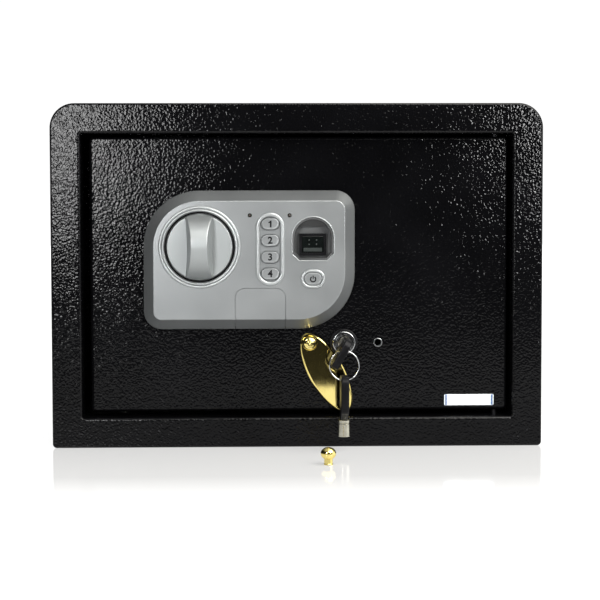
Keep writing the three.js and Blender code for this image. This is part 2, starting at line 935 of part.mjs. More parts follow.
function makeRibbon() {
  const start = boardFront + board.thickness;
  const left = doorX(ribbon.x) - ribbon.thickness / 2;
  const end = mainBoardArea.left + ribbon.lap;
  const outline = [
    [left, start],
    [left + ribbon.thickness, start],
    [left + ribbon.thickness, mainBoardBack],
    [end, mainBoardBack],
    [end, mainBoardBack + ribbon.thickness],
    [left, mainBoardBack + ribbon.thickness],
  ].map(([x, y]) => new THREE.Vector2(x, y));
  const bottom = doorZ(ribbon.bottom);
  const strip = barZ(outline, bottom, bottom + ribbon.height);
  return part('panel_ribbon', strip, finish.ribbonGrey);
}

// Control panel

const panelRadii = {
  topLeft: panel.topLeftRadius,
  topRight: panel.topRightRadius,
  bottomRight: panel.bottomRightRadius,
  bottomLeft: panel.bottomLeftRadius,
};

// The panel's outer form, or the same form set in by a wall. Its foot may run past the door's face.
function panelForm(wall, foot) {
  const loop = (distance) => insetLoop(panelArea, panelRadii, distance + wall, steps.panelCorner);
  return skin([
    ringAt(loop(panel.bevel), plateau + wall),
    ringAt(loop(panel.bevel - panel.ridge), plateau + wall + panel.ridge * roundShare),
    ringAt(loop(0), face - panel.footHeight + wall / 2),
    ringAt(loop(0), face + foot),
  ]);
}

const flapArea = {
  left: doorX(flap.left),
  right: doorX(flap.right),
  bottom: panelArea.bottom - fit.overrun,
  top: doorZ(flap.top),
};
const flapMiddle = (flapArea.left + flapArea.right) / 2;
const flapRadii = {
  topLeft: flap.cornerRadius,
  topRight: flap.cornerRadius,
  bottomRight: fit.sharp,
  bottomLeft: fit.sharp,
};

function flapColumn(distance) {
  const area = { ...inset(flapArea, distance), bottom: flapArea.bottom };
  return sheetY(
    roundedLoop(area, insetRadii(flapRadii, distance), steps.pill), plateau - fit.overrun, face + fit.overrun,
  );
}

function makeFlap() {
  const layer = cut(panelForm(0, -fit.gap), [panelForm(flap.thickness, fit.overrun)]);
  return part('port_cover', common(layer, flapColumn(fit.gap / 2)), finish.silver);
}

// The rings of a rim's crest, as shares of its width and its height
const rimShares = [[1, 0.1], [0.8, 0.8], [0.5, 1], [0.2, 0.8], [0, 0.1]];

// A raised rim with a rounded crest, drawn as rings set in from its outer outline
function rim(loopAt, width, height) {
  const crest = rimShares.map(([across, up]) => ringAt(loopAt(width * across), plateau - height * up));
  const root = plateau + panel.wall / 2;
  return skin([...crest, ringAt(loopAt(0), root), ringAt(loopAt(width), root)], true);
}

const padArea = areaAround(padPlace.x, padPlace.top - pad.height / 2, pad.width, pad.height);
const powerArea = areaAround(
  powerPlace.x, powerPlace.z,
  powerKey.width + 2 * powerKey.rimWidth, powerKey.height + 2 * powerKey.rimWidth,
);

function keyHoleArea(x, z, width, height) {
  return areaAround(x, z, width + 2 * fit.gap, height + 2 * fit.gap);
}

function digitKeyHeight(i) {
  return padPlace.top - pad.firstKeyDrop - i * pad.keyPitch;
}

// The finger well's outline: an arch over a straight foot with cut corners
function archLoop(distance) {
  const reach = well.halfWidth - distance;
  const low = wellPlace.bottom + distance;
  const corner = well.chamfer - distance * 2 * roundShare;
  const springing = wellPlace.top - well.halfWidth;
  const feet = [
    new THREE.Vector2(wellPlace.x - reach, low + corner),
    new THREE.Vector2(wellPlace.x - reach + corner, low),
    new THREE.Vector2(wellPlace.x + reach - corner, low),
    new THREE.Vector2(wellPlace.x + reach, low + corner),
  ];
  const arch = Array.from({ length: steps.arch + 1 }, (_, i) => {
    const turn = (i / steps.arch) * 2 * quarter;
    return new THREE.Vector2(wellPlace.x + reach * Math.cos(turn), springing + reach * Math.sin(turn));
  });
  return [...feet, ...arch];
}

function makeKnobWell() {
  const radius = knob.radius + knob.groove;
  const floor = knobBack + fit.gap;
  return turnedRing([
    [shaft.radius + fit.gap, floor],
    [radius, floor],
    [radius, plateau + panel.wall / 2],
    [radius + knobWell.wall, plateau + panel.wall / 2],
    [radius + knobWell.wall, floor + knobWell.floor],
    [shaft.radius + fit.gap, floor + knobWell.floor],
  ], sides.large).translate(knobCentre.x, 0, knobCentre.z);
}

// The raised ring round the knob, with a groove between its two bands
function makeKnobBezel() {
  const inner = knob.radius + knob.groove;
  const outer = inner + bezel.width;
  const crest = plateau - bezel.height;
  const middle = inner + bezel.innerBand;
  return turnedRing([
    [inner, crest + bezel.round],
    [inner + bezel.round, crest],
    [middle - bezel.round, crest],
    [middle, crest + bezel.grooveDepth],
    [middle + bezel.round, crest + bezel.grooveDepth],
    [outer - bezel.round, crest + bezel.height / 2],
    [outer, plateau],
    [outer, plateau + panel.wall / 2],
    [inner, plateau + panel.wall / 2],
  ], sides.large).translate(knobCentre.x, 0, knobCentre.z);
}

function makePanelHousing() {
  const flapDepth = flap.thickness + fit.gap;
  const backingLayer = cut(panelForm(flapDepth, 0), [panelForm(flapDepth + flap.backing, fit.overrun)]);
  const flapBacking = common(backingLayer, flapColumn(-panel.wall));
  const flapRecess = cut(
    common(panelForm(-fit.overrun, fit.overrun), flapColumn(0)), [panelForm(flapDepth, fit.overrun)],
  );
  const knobHole = rodY(
    knob.radius + knob.groove, plateau - bezel.height - fit.overrun, knobBack, knobCentre.x, knobCentre.z, sides.large,
  );
  const lidHole = (area, distance = 0) => sheetY(
    pillLoop(area, distance), plateau - fit.overrun * 2, plateau + panel.wall + fit.overrun,
  );
  const digitHoles = Array.from({ length: pad.keyCount }, (_, i) => lidHole(
    keyHoleArea(padPlace.x, digitKeyHeight(i), key.width, key.height),
  ));
  const pocket = sheetY(
    pillLoop(padArea, pad.rimWidth), plateau - pad.rimHeight - fit.overrun, plateau + pad.pocketDepth,
  );
  const powerPocket = lidHole(keyHoleArea(powerPlace.x, powerPlace.z, powerKey.width, powerKey.height));
  const lampHoles = [lampPlace.leftX, lampPlace.rightX].map((x) => rodY(
    lamp.holeRadius, plateau - fit.overrun, plateau + panel.wall + fit.overrun, x, lampPlace.z, sides.tiny,
  ));
  const archHole = sheetY(archLoop(0), plateau - fit.overrun, plateau + panel.wall + fit.overrun);
  const portHole = rodY(
    port.radius + fit.gap, plateau - fit.overrun, plateau + panel.height / 2,
    flapMiddle, doorZ(port.z), sides.small,
  );
  const hollow = panelForm(panel.wall, fit.overrun);
  const shellWithWell = join(cut(panelForm(0, 0), [hollow, flapRecess]), [flapBacking, makeKnobWell()]);
  const dressed = join(shellWithWell, [
    makeKnobBezel(),
    rim((distance) => pillLoop(padArea, distance), pad.rimWidth, pad.rimHeight),
    rim((distance) => pillLoop(powerArea, distance), powerKey.rimWidth, powerKey.rimHeight),
    rim((distance) => archLoop(distance - well.rimWidth), well.rimWidth, well.rimHeight),
  ]);
  return part('panel_housing', cut(dressed, [
    knobHole, pocket, powerPocket, archHole, portHole, ...digitHoles, ...lampHoles,
  ]), finish.silver);
}

// A key cap with a flange behind the panel's face, which keeps it in
function makeKeyCap(name, x, z, width, height) {
  const cap = areaAround(x, z, width, height);
  const flangeBack = plateau + panel.wall + fit.gap + key.flangeThickness;
  const top = plateau - key.proud;
  const body = skin([
    ringAt(pillLoop(cap, key.edge), top),
    ringAt(pillLoop(cap, key.edge * roundShare), top + key.edge * roundShare),
    ringAt(pillLoop(cap, 0), top + key.edge),
    ringAt(pillLoop(cap, 0), flangeBack),
  ]);
  const flange = sheetY(pillLoop(cap, -key.flange), flangeBack - key.flangeThickness, flangeBack);
  return part(name, join(body, [flange]), finish.silver);
}

function makeDigitKeys() {
  return Array.from({ length: pad.keyCount }, (_, i) => makeKeyCap(
    `digit_key_${i + 1}`, padPlace.x, digitKeyHeight(i), key.width, key.height,
  ));
}

// The points of a lamp's dome, as shares of its radius
const lensShares = [[0, 0], [0.7, 0.3], [1, 1]];

function makeLamp(name, x, look) {
  const dome = plateau + lamp.sunk;
  const lens = turned([
    ...lensShares.map(([across, down]) => [lamp.radius * across, dome + lamp.radius * down]),
    [lamp.radius, boardFront],
    [0, boardFront],
  ], sides.tiny);
  return part(name, lens.translate(x, 0, lampPlace.z), look);
}

// The cup behind the arch: walls that lean in to the reader, and a sloped ledge above it
function makeFingerGuide() {
  const near = plateau + fit.gap;
  const floor = plateau + well.depth;
  const outer = sheetY(archLoop(fit.gap), near, floor + well.floor);
  const hollow = skin([
    ringAt(archLoop(fit.gap + well.wall - fit.overrun / 2), near - fit.overrun),
    ringAt(archLoop(fit.gap + well.wall), near),
    ringAt(archLoop(well.floorInset), floor),
  ]);
  const ledge = barX([
    [near + well.ledgeDepth - well.slopeRise, wellPlace.top],
    [near + well.ledgeDepth, wellPlace.ledgeZ],
    [floor + well.floor / 2, wellPlace.ledgeZ],
    [floor + well.floor / 2, wellPlace.top],
  ].map(([y, z]) => new THREE.Vector2(y, z)), wellPlace.x - well.halfWidth, wellPlace.x + well.halfWidth);
  const cup = cut(outer, [hollow]);
  return part('finger_guide', join(cup, [common(ledge, outer)]), finish.darkSilver);
}

const sensorArea = {
  left: wellPlace.x - sensor.width / 2,
  right: wellPlace.x + sensor.width / 2,
  bottom: doorZ(sensor.bottom),
  top: doorZ(sensor.bottom) + sensor.height,
};

function makeSensor() {
  const rear = plateau + well.depth;
  const near = rear - sensor.thickness;
  const body = sheetY(boxLoop(sensorArea), near, rear);
  const pocket = sheetY(
    boxLoop(inset(sensorArea, sensor.frame)), near - fit.overrun, near + sensor.windowThickness,
  );
  return part('fingerprint_sensor', cut(body, [pocket]), finish.blackPlastic);
}

function makeSensorWindow() {
  const near = plateau + well.depth - sensor.thickness;
  const area = inset(sensorArea, sensor.frame + fit.gap);
  return part('sensor_window', sheetY(boxLoop(area), near, near + sensor.windowThickness), finish.glass);
}

function makePort() {
  const seat = plateau + flap.thickness + fit.gap + flap.backing;
  const mouth = seat - flap.backing + fit.gap;
  const jack = turned([
    [0, mouth + port.boreDepth - fit.overrun],
    [port.pinRadius, mouth + port.boreDepth - fit.overrun],
    [port.pinRadius, mouth + port.boreDepth],
    [port.boreRadius, mouth + port.boreDepth],
    [port.boreRadius, mouth],
    [port.radius, mouth],
    [port.radius, seat],
    [port.flangeRadius, seat],
    [port.flangeRadius, seat + port.flangeThickness],
    [0, seat + port.flangeThickness],
  ], sides.small);
  return part('power_port', jack.translate(flapMiddle, 0, doorZ(port.z)), finish.blackPlastic);
}

// Knob, shaft and crank

// Half the grip's width at a height from the knob's middle
function gripHalfWidth(z, narrowing) {
  const share = (z / knob.gripReach) ** 2;
  return knob.gripWaist + (knob.gripEnd - knob.gripWaist) * share - narrowing;
}

function gripLoop(narrowing) {
  const endZ = Math.sqrt(knob.radius ** 2 - knob.gripEnd ** 2);
  const side = Array.from({ length: 2 * steps.grip + 1 }, (_, i) => {
    const z = (i / steps.grip - 1) * endZ;
    return new THREE.Vector2(gripHalfWidth(z, narrowing), z);
  });
  const crown = [1, -1].map((way) => new THREE.Vector2(way * gripHalfWidth(endZ, narrowing) / 2, knob.gripReach));
  const base = crown.map((point) => new THREE.Vector2(-point.x, -point.y));
  const left = side.map((point) => new THREE.Vector2(-point.x, -point.y));
  return [...side, ...crown, ...left, ...base];
}

function makeKnob() {
  const disc = turned([
    [0, knobFace],
    [knob.radius - knob.edge, knobFace],
    [knob.radius, knobFace + knob.edge],
    [knob.radius, knobBack],
    [0, knobBack],
  ], sides.large);
  const crestY = knobFace - knob.gripHeight;
  const walls = skin([
    ringAt(gripLoop(knob.gripDraft), crestY),
    ringAt(gripLoop(0), knobFace + knob.edge),
  ]);
  const sagitta = knob.gripHeight - knob.gripShoulder;
  const crestRadius = (knob.gripReach ** 2 + sagitta ** 2) / (2 * sagitta);
  const halfAngle = Math.asin(knob.gripReach / crestRadius);
  const centreY = crestY + crestRadius;
  const crest = Array.from({ length: steps.crest + 1 }, (_, i) => {
    const turn = (i / steps.crest * 2 - 1) * halfAngle;
    return new THREE.Vector2(centreY - crestRadius * Math.cos(turn), crestRadius * Math.sin(turn));
  });
  const rear = [knob.gripReach, -knob.gripReach].map((z) => new THREE.Vector2(knobFace + knob.thickness / 2, z));
  const outline = [...crest, ...rear].reverse();
  const arch = barX(outline, -knob.radius, knob.radius);
  const grip = common(walls, arch);
  return part('knob', join(disc, [grip]), finish.silver);
}

function makeKnobShaft() {
  const rod = rodY(shaft.radius, knobBack, crankFront, 0, 0, sides.small);
  return part('knob_shaft', rod, finish.zinc);
}

// The crank lies on the shaft's end, and its pin stands back into the carriage's slot
function makeCrank() {
  const x = pinRest.x - knobCentre.x;
  const z = pinRest.z - knobCentre.z;
  const across = crank.eyeRadius * Math.SQRT1_2;
  const arm = [[across, -across], [x + across, z - across], [x - across, z + across], [-across, across]];
  const solid = join(rodY(crank.hubRadius, crankFront, crankBack, 0, 0, sides.small), [
    sheetY(arm.map(([px, pz]) => new THREE.Vector2(px, pz)), crankFront, crankBack),
    rodY(crank.eyeRadius, crankFront, crankBack, x, z, sides.tiny),
    rodY(crank.pinRadius, crankFront + crank.thickness / 2, carriageBack + fit.running, x, z, sides.tiny),
  ]);
  return part('knob_crank', solid, finish.zinc);
}

// Bolt work

const barLeft = boltRoot;
const barRight = barLeft + carriage.barWidth;
const studX = barLeft + stud.fromEdge;
const studHeights = [boltHeights[0] + stud.fromBolt, boltHeights[1] - stud.fromBolt];

function slotLoop(left, right, bottom, top) {
  return pillLoop({ left, right, bottom, top }, 0);
}

function makeCarriage() {
  const [lowBolt, highBolt] = boltHeights;
  const barBottom = lowBolt - bolt.radius - carriage.thickness;
  const barTop = highBolt + bolt.radius + carriage.thickness;
  const armTop = armBottom + carriage.armHeight;
  const armRight = doorX(carriage.armRight);
  const lobeLeft = pinRest.x - carriage.lobeWidth / 2;
  const lobeRight = pinRest.x + carriage.lobeWidth / 2;
  const lobeTop = knobCentre.z + crank.throw + carriage.lobeTop;
  const outline = [
    [barLeft, barBottom], [barRight, barBottom], [barRight, armBottom],
    [armRight, armBottom], [armRight, armTop], [lobeRight, armTop],
    [lobeRight, lobeTop], [lobeLeft, lobeTop], [lobeLeft, armTop], [barRight, armTop],
    [barRight, barTop], [barLeft, barTop],
  ].map(([x, z]) => new THREE.Vector2(x, z));
  const pinReach = crank.pinRadius + crank.play;
  const pinSlot = slotLoop(
    pinRest.x - pinReach, pinRest.x + pinReach, pinRest.z - pinReach, knobCentre.z + crank.throw + pinReach,
  );
  const studReach = stud.radius + fit.running;
  const studSlots = studHeights.map((z) => slotLoop(
    studX - studReach, studX + stroke + studReach, z - studReach, z + studReach,
  ));
  const sheet = sheetY(outline, carriageFront, carriageBack, [pinSlot, ...studSlots]);
  const flanges = boltHeights.map((z) => block(
    [barLeft, barLeft + carriage.thickness],
    [carriageFront + carriage.thickness / 2, boltY + bolt.radius + fit.overrun],
    [z - carriage.flangeHalfHeight, z + carriage.flangeHalfHeight],
  ));
  return part('bolt_carriage', join(sheet, flanges), finish.zinc);
}

function makeBolts() {
  const names = ['locking_bolt_bottom', 'locking_bolt_top'];
  return boltHeights.map((z, i) => {
    const rod = turned([
      [0, 0],
      [bolt.radius - bolt.chamfer, 0],
      [bolt.radius, bolt.chamfer],
      [bolt.radius, bolt.length],
      [0, bolt.length],
    ], sides.small).rotateZ(-quarter);
    const mesh = part(names[i], rod, finish.chrome);
    mesh.position.set(boltTip, boltY, z);
    return mesh;
  });
}

function makeStuds() {
  return studHeights.map((z, i) => {
    const neckFront = carriageFront - fit.gap;
    const neckBack = carriageBack + fit.gap;
    const turnedStud = turned([
      [0, plateBack],
      [stud.headRadius, plateBack],
      [stud.headRadius, neckFront],
      [stud.radius, neckFront],
      [stud.radius, neckBack],
      [stud.headRadius, neckBack],
      [stud.headRadius, neckBack + stud.headThickness],
      [0, neckBack + stud.headThickness],
    ], sides.tiny);
    return part(`guide_stud_${i + 1}`, turnedStud.translate(studX, 0, z), finish.zinc);
  });
}

// Solenoid

const coreY = (carriageFront + carriageBack) / 2;
const solenoidTop = solenoidPlace.bottom + solenoid.height;
const rodTop = solenoidPlace.bottom + fit.overrun;
const collarTop = rodTop - solenoid.rodLength;
const plungerTip = armBottom - fit.gap;
const springTop = plungerTip - solenoid.seatDrop;

function makeSolenoid() {
  const half = solenoid.width / 2;
  const body = block(
    [solenoidPlace.x - half, solenoidPlace.x + half], [plateBack, plateBack + solenoid.depth],
    [solenoidPlace.bottom, solenoidTop],
  );
  const bore = rodZ(
    solenoid.coreRadius + fit.gap, solenoidPlace.bottom - fit.overrun, solenoidTop + fit.overrun,
    solenoidPlace.x, coreY, sides.small,
  );
  return part('solenoid_body', cut(body, [bore]), finish.zinc);
}

function makePlunger() {
  const plunger = turned([
    [0, collarTop - solenoid.collarThickness],
    [solenoid.collarRadius, collarTop - solenoid.collarThickness],
    [solenoid.collarRadius, collarTop],
    [solenoid.rodRadius, collarTop],
    [solenoid.rodRadius, rodTop],
    [solenoid.coreRadius, rodTop],
    [solenoid.coreRadius, springTop],
    [solenoid.seatRadius, springTop],
    [solenoid.seatRadius, springTop + solenoid.seatThickness],
    [solenoid.coreRadius, springTop + solenoid.seatThickness],
    [solenoid.coreRadius, plungerTip],
    [0, plungerTip],
  ], sides.tiny).rotateX(quarter);
  return part('solenoid_plunger', plunger.translate(solenoidPlace.x, coreY, 0), finish.chrome);
}

function makePlungerSpring() {
  const inner = solenoid.coreRadius + fit.running;
  const sleeve = turnedRing([
    [inner, solenoidTop],
    [inner + solenoid.springWall, solenoidTop],
    [inner + solenoid.springWall, springTop],
    [inner, springTop],
  ], sides.tiny).rotateX(quarter);
  return part('plunger_spring', sleeve.translate(solenoidPlace.x, coreY, 0), finish.zinc);
}

// Emergency lock

function makeLockHousing() {
  const bore = keyShape.barrelRadius + fit.gap;
  const housing = turnedRing([
    [bore, lockFace],
    [lock.faceRadius - lock.edge, lockFace],
    [lock.faceRadius, lockFace + lock.edge],
    [lock.faceRadius, face],
    [lock.barrelRadius, face],
    [lock.barrelRadius, lockBack],
    [bore, lockBack],
  ], sides.medium);
  return part('lock_housing', housing.translate(lockPlace.x, 0, lockPlace.z), finish.chrome);
}

function makeLockBezel() {
  const inner = lock.faceRadius + fit.gap;
  const top = face - lock.bezelHeight;
  const ring = turnedRing([
    [inner, top + lock.edge],
    [inner + lock.edge, top],
    [lock.bezelRadius - lock.edge, top],
    [lock.bezelRadius, top + lock.edge],
    [lock.bezelRadius, face],
    [inner, face],
  ], sides.medium);
  return part('lock_bezel', ring.translate(lockPlace.x, 0, lockPlace.z), finish.blackPlastic);
}

function makeLockNut() {
  const outline = circleLoop(lockPlace.x, lockPlace.z, lock.nutRadius, sides.nut);
  const hole = circleLoop(lockPlace.x, lockPlace.z, lock.barrelRadius + fit.gap, sides.small);
  return part('lock_nut', sheetY(outline, plateBack, plateBack + lock.nutThickness, [hole]), finish.zinc);
}

function makeLockPlug() {
  const plug = turned([
    [0, lockFace + lock.noseSunk],
    [keyShape.boreRadius - fit.gap, lockFace + lock.noseSunk],
    [keyShape.boreRadius - fit.gap, plugFront],
    [keyShape.barrelRadius, plugFront],
    [keyShape.barrelRadius, lockBack + fit.gap],
    [0, lockBack + fit.gap],
  ], sides.small);
  return part('lock_plug', plug.translate(lockPlace.x, 0, lockPlace.z), finish.chrome);
}

// The cam points left at rest. A quarter turn brings its nose over the plunger's collar.
function makeLockCam() {
  const near = lockBack + fit.gap;
  const far = near + cam.thickness;
  const noseFrom = collarTop + fit.gap - lockPlace.z;
  const reach = noseFrom + cam.noseHeight;
  const outline = [
    [-cam.halfWidth, 0],
    [cam.halfWidth, 0],
    [cam.halfWidth, noseFrom],
    [cam.noseWidth, noseFrom],
    [cam.noseWidth, reach],
    [-cam.halfWidth, reach],
  ].map(([across, along]) => new THREE.Vector2(across, along));
  const arm = sheetY(outline, near, far).rotateY(-quarter);
  const solid = join(rodY(cam.hubRadius, near, far, 0, 0, sides.small), [arm]);
  return part('lock_cam', solid.translate(lockPlace.x, 0, lockPlace.z), finish.zinc);
}

// One key, drawn with its barrel's axis along Y, its bow towards the viewer
// and the bow's wide side down. Depth 0 is the bow's shoulder.

function bowLoop() {
  const near = keyShape.bowNear;
  const far = -keyShape.bowFar;
  const end = -keyShape.bowLength;
  const radius = keyShape.endRadius;
  const corner = (y, z, start) => Array.from({ length: steps.pill + 1 }, (_, i) => {
    const turn = start + (i / steps.pill) * quarter;
    return new THREE.Vector2(y + radius * Math.cos(turn), z + radius * Math.sin(turn));
  });
  return [
    new THREE.Vector2(0, -near),
    new THREE.Vector2(0, near),
    ...corner(end + radius, near - radius, quarter),
    ...corner(end + radius, far + radius, 2 * quarter),
    ...corner(-keyShape.shoulder, far + radius, 3 * quarter),
  ];
}

function makeBow(name) {
  const half = keyShape.bowThickness / 2;
  const outline = bowLoop();
  const hole = circleLoop(
    -keyShape.bowLength + keyShape.holeFromEnd, -keyShape.holeOffset, keyShape.holeRadius, sides.small,
  );
  const shape = new THREE.Shape(outline);
  shape.holes = [new THREE.Path(hole)];
  const rounded = new THREE.ExtrudeGeometry(shape, {
    depth: keyShape.bowThickness - 2 * keyShape.edge,
    bevelThickness: keyShape.edge,
    bevelSize: keyShape.edge,
    bevelOffset: -keyShape.edge,
    bevelSegments: steps.bevel,
  });
  const axes = [new THREE.Vector3(0, 1, 0), new THREE.Vector3(0, 0, 1), new THREE.Vector3(1, 0, 0)];
  rounded.applyMatrix4(new THREE.Matrix4().makeBasis(...axes)).translate(keyShape.edge - half, 0, 0);
  return part(name, rounded, finish.blackPlastic);
}

function makeBarrel(name) {
  const start = fit.seam;
  const end = keyShape.barrelLength;
  const barrel = turned([
    [0, start],
    [keyShape.barrelRadius, start],
    [keyShape.barrelRadius, end],
    [keyShape.boreRadius, end],
    [keyShape.boreRadius, end - keyShape.boreDepth],
    [0, end - keyShape.boreDepth],
  ], sides.small);
  return part(name, barrel, finish.chrome);
}

function makeKey(number) {
  const group = new THREE.Group();
  group.add(makeBow(`key_${number}_bow`), makeBarrel(`key_${number}_barrel`));
  return group;
}

// Where the ring's wire passes the first bow's hole, and the ring's own middle
const bowTurn = keyShape.bowTurnDegrees * degree;
const lean = keyRing.leanDegrees * degree;
const wirePoint = {
  x: lockPlace.x - keyShape.holeOffset * Math.sin(bowTurn),
  z: lockPlace.z - keyShape.holeOffset * Math.cos(bowTurn),
};
const ringCentre = {
  x: wirePoint.x - keyRing.radius * Math.sin(lean),
  z: wirePoint.z - keyRing.radius * Math.cos(lean),
};

function makeKeyInLock() {
  const group = makeKey(1);
  group.rotation.y = bowTurn;
  group.position.set(lockPlace.x, bowShoulder, lockPlace.z);
  return group;
}

function makeKeyRing() {
  const torus = new THREE.TorusGeometry(keyRing.radius, keyRing.wire, sides.wire, sides.medium).rotateX(quarter);
  return part('key_ring', torus.translate(ringCentre.x, bowHole, ringCentre.z), finish.chrome);
}

// The second key hangs with its barrel down and the wide side of its bow towards the viewer
function makeHangingKey() {
  const group = makeKey(2);
  const hang = keyShape.holeRadius - keyRing.wire - fit.gap * 2;
  const holeZ = ringCentre.z - keyRing.radius - hang;
  const holeDepth = keyShape.bowLength - keyShape.holeFromEnd;
  group.rotation.x = -quarter;
  group.position.set(ringCentre.x, bowHole + keyShape.holeOffset, holeZ - holeDepth);
  return group;
}

// Cover plate and its screws

function lensLoop(distance) {
  const long = plate.halfLength - distance;
  const wide = plate.halfWidth - distance;
  const power = 2 / plate.roundness;
  return Array.from({ length: steps.lens }, (_, i) => {
    const turn = (i / steps.lens) * 4 * quarter;
    const across = Math.cos(turn);
    const along = Math.sin(turn);
    return new THREE.Vector2(
      wide * Math.sign(across) * Math.abs(across) ** power,
      long * Math.sign(along) * Math.abs(along) ** power,
    );
  });
}

function makeCoverPlate() {
  const rear = plateFront + plate.thickness;
  const lens = skin([
    ringAt(lensLoop(plate.rim), plateFront),
    ringAt(lensLoop(0), plateFront + plate.rimDrop),
    ringAt(lensLoop(0), rear),
  ]);
  const holes = [-1, 1].map((side) => rodY(
    coverScrew.shoulderRadius + fit.gap, plateFront - fit.overrun, rear + fit.overrun,
    0, side * plate.holeSpacing / 2, sides.small,
  ));
  const solid = cut(lens, holes).translate(0, 0, -plate.holeSpacing / 2);
  const mesh = part('cover_plate', solid, finish.brass);
  mesh.rotation.y = -(quarter - plate.dropDegrees * degree);
  mesh.position.set(screwHoles[0], 0, lockPlace.z);
  return mesh;
}

// A ball-headed screw along Y, with depth 0 under its head
function screwProfile() {
  const ball = coverScrew.ballRadius;
  const topTurn = Math.asin(coverScrew.crownFlat / ball);
  const lowTurn = Math.PI - Math.asin(coverScrew.waistRadius / ball);
  const tall = coverScrew.ballHeight / (Math.cos(topTurn) - Math.cos(lowTurn));
  const dome = Array.from({ length: steps.ball + 1 }, (_, i) => {
    const turn = topTurn + (i / steps.ball) * (lowTurn - topTurn);
    return [ball * Math.sin(turn), tall * (Math.cos(lowTurn) - Math.cos(turn))];
  });
  return [[0, dome[0][1]], ...dome];
}

function makeFixedScrew() {
  const shoulderEnd = plate.thickness + plate.standOff;
  const screw = turned([
    ...screwProfile(),
    [coverScrew.shoulderRadius, 0],
    [coverScrew.shoulderRadius, shoulderEnd],
    [coverScrew.threadRadius, shoulderEnd],
    [coverScrew.threadRadius, shoulderEnd + coverScrew.threadLength],
    [0, shoulderEnd + coverScrew.threadLength],
  ], sides.small);
  return part('cover_screw_fixed', screw.translate(screwHoles[0], plateFront - fit.gap, lockPlace.z), finish.brass);
}

function makeLooseScrew() {
  const screw = turned([
    ...screwProfile(),
    [coverScrew.footRadius, 0],
    [coverScrew.footRadius, coverScrew.footLength],
    [0, coverScrew.footLength],
  ], sides.small).rotateX(-quarter);
  return part(
    'cover_screw_loose',
    screw.translate(looseScrew.x, front - looseScrew.inFront, coverScrew.footLength),
    finish.brass,
  );
}

function makeInsert() {
  const bore = coverScrew.threadRadius + fit.gap;
  const ring = turnedRing([
    [bore, face - insert.proud],
    [insert.radius, face - insert.proud],
    [insert.radius, face - insert.proud + insert.length],
    [bore, face - insert.proud + insert.length],
  ], sides.small);
  return part('screw_insert', ring.translate(screwHoles[1], 0, lockPlace.z), finish.zinc);
}

function makeLabel() {
  const right = doorArea.right - label.fromRight;
  const bottom = doorZ(label.bottom);
  const area = { left: right - label.width, right, bottom, top: bottom + label.height };
  const loop = insetLoop(area, evenRadii(label.cornerRadius), 0, steps.pill);
  return part('rating_label', sheetY(loop, face - label.thickness, face), finish.paper);
}

// The safe: the case, then the door with everything on it

const safe = new THREE.Group();

const caseGroup = new THREE.Group();
caseGroup.add(
  makeShell(),
  makeFrontFrame(),
  makeBackPanel(),
  makeFloorMat(),
  makeHingePin('hinge_pin_bottom', false),
  makeHingePin('hinge_pin_top', true),
  makeLooseScrew(),
);

const knobGroup = new THREE.Group();
knobGroup.add(makeKnob(), makeKnobShaft(), makeCrank());
knobGroup.position.set(knobCentre.x, 0, knobCentre.z);

const doorGroup = new THREE.Group();
doorGroup.add(
  makeDoorPanel(),
  makeInnerCover(),
  ...makeCoverPostScrews(),
  makeBatteryBox(),
  makeBatteryLid(),
  ...makeCells(),
  makeControlBoard(),
  makeMainBoard(),
  makeRibbon(),
  makePanelHousing(),
  makeFlap(),
  makePort(),
  ...makeDigitKeys(),
  makeKeyCap('power_key', powerPlace.x, powerPlace.z, powerKey.width, powerKey.height),
  makeLamp('lamp_green', lampPlace.leftX, finish.lampGreen),
  makeLamp('lamp_red', lampPlace.rightX, finish.lampRed),
  makeFingerGuide(),
  makeSensor(),
  makeSensorWindow(),
  knobGroup,
  makeCarriage(),
  ...makeBolts(),
  ...makeStuds(),
  makeSolenoid(),
  makePlunger(),
  makePlungerSpring(),
  makeLockHousing(),
  makeLockBezel(),
  makeLockNut(),
  makeLockPlug(),
  makeLockCam(),
  makeKeyInLock(),
  makeKeyRing(),
  makeHangingKey(),
  makeCoverPlate(),
  makeFixedScrew(),
  makeInsert(),
  makeLabel(),
);

safe.add(caseGroup, doorGroup);

export default safe;
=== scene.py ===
"""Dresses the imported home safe: its case, door, control panel, knob, emergency lock, keys and brass cover."""

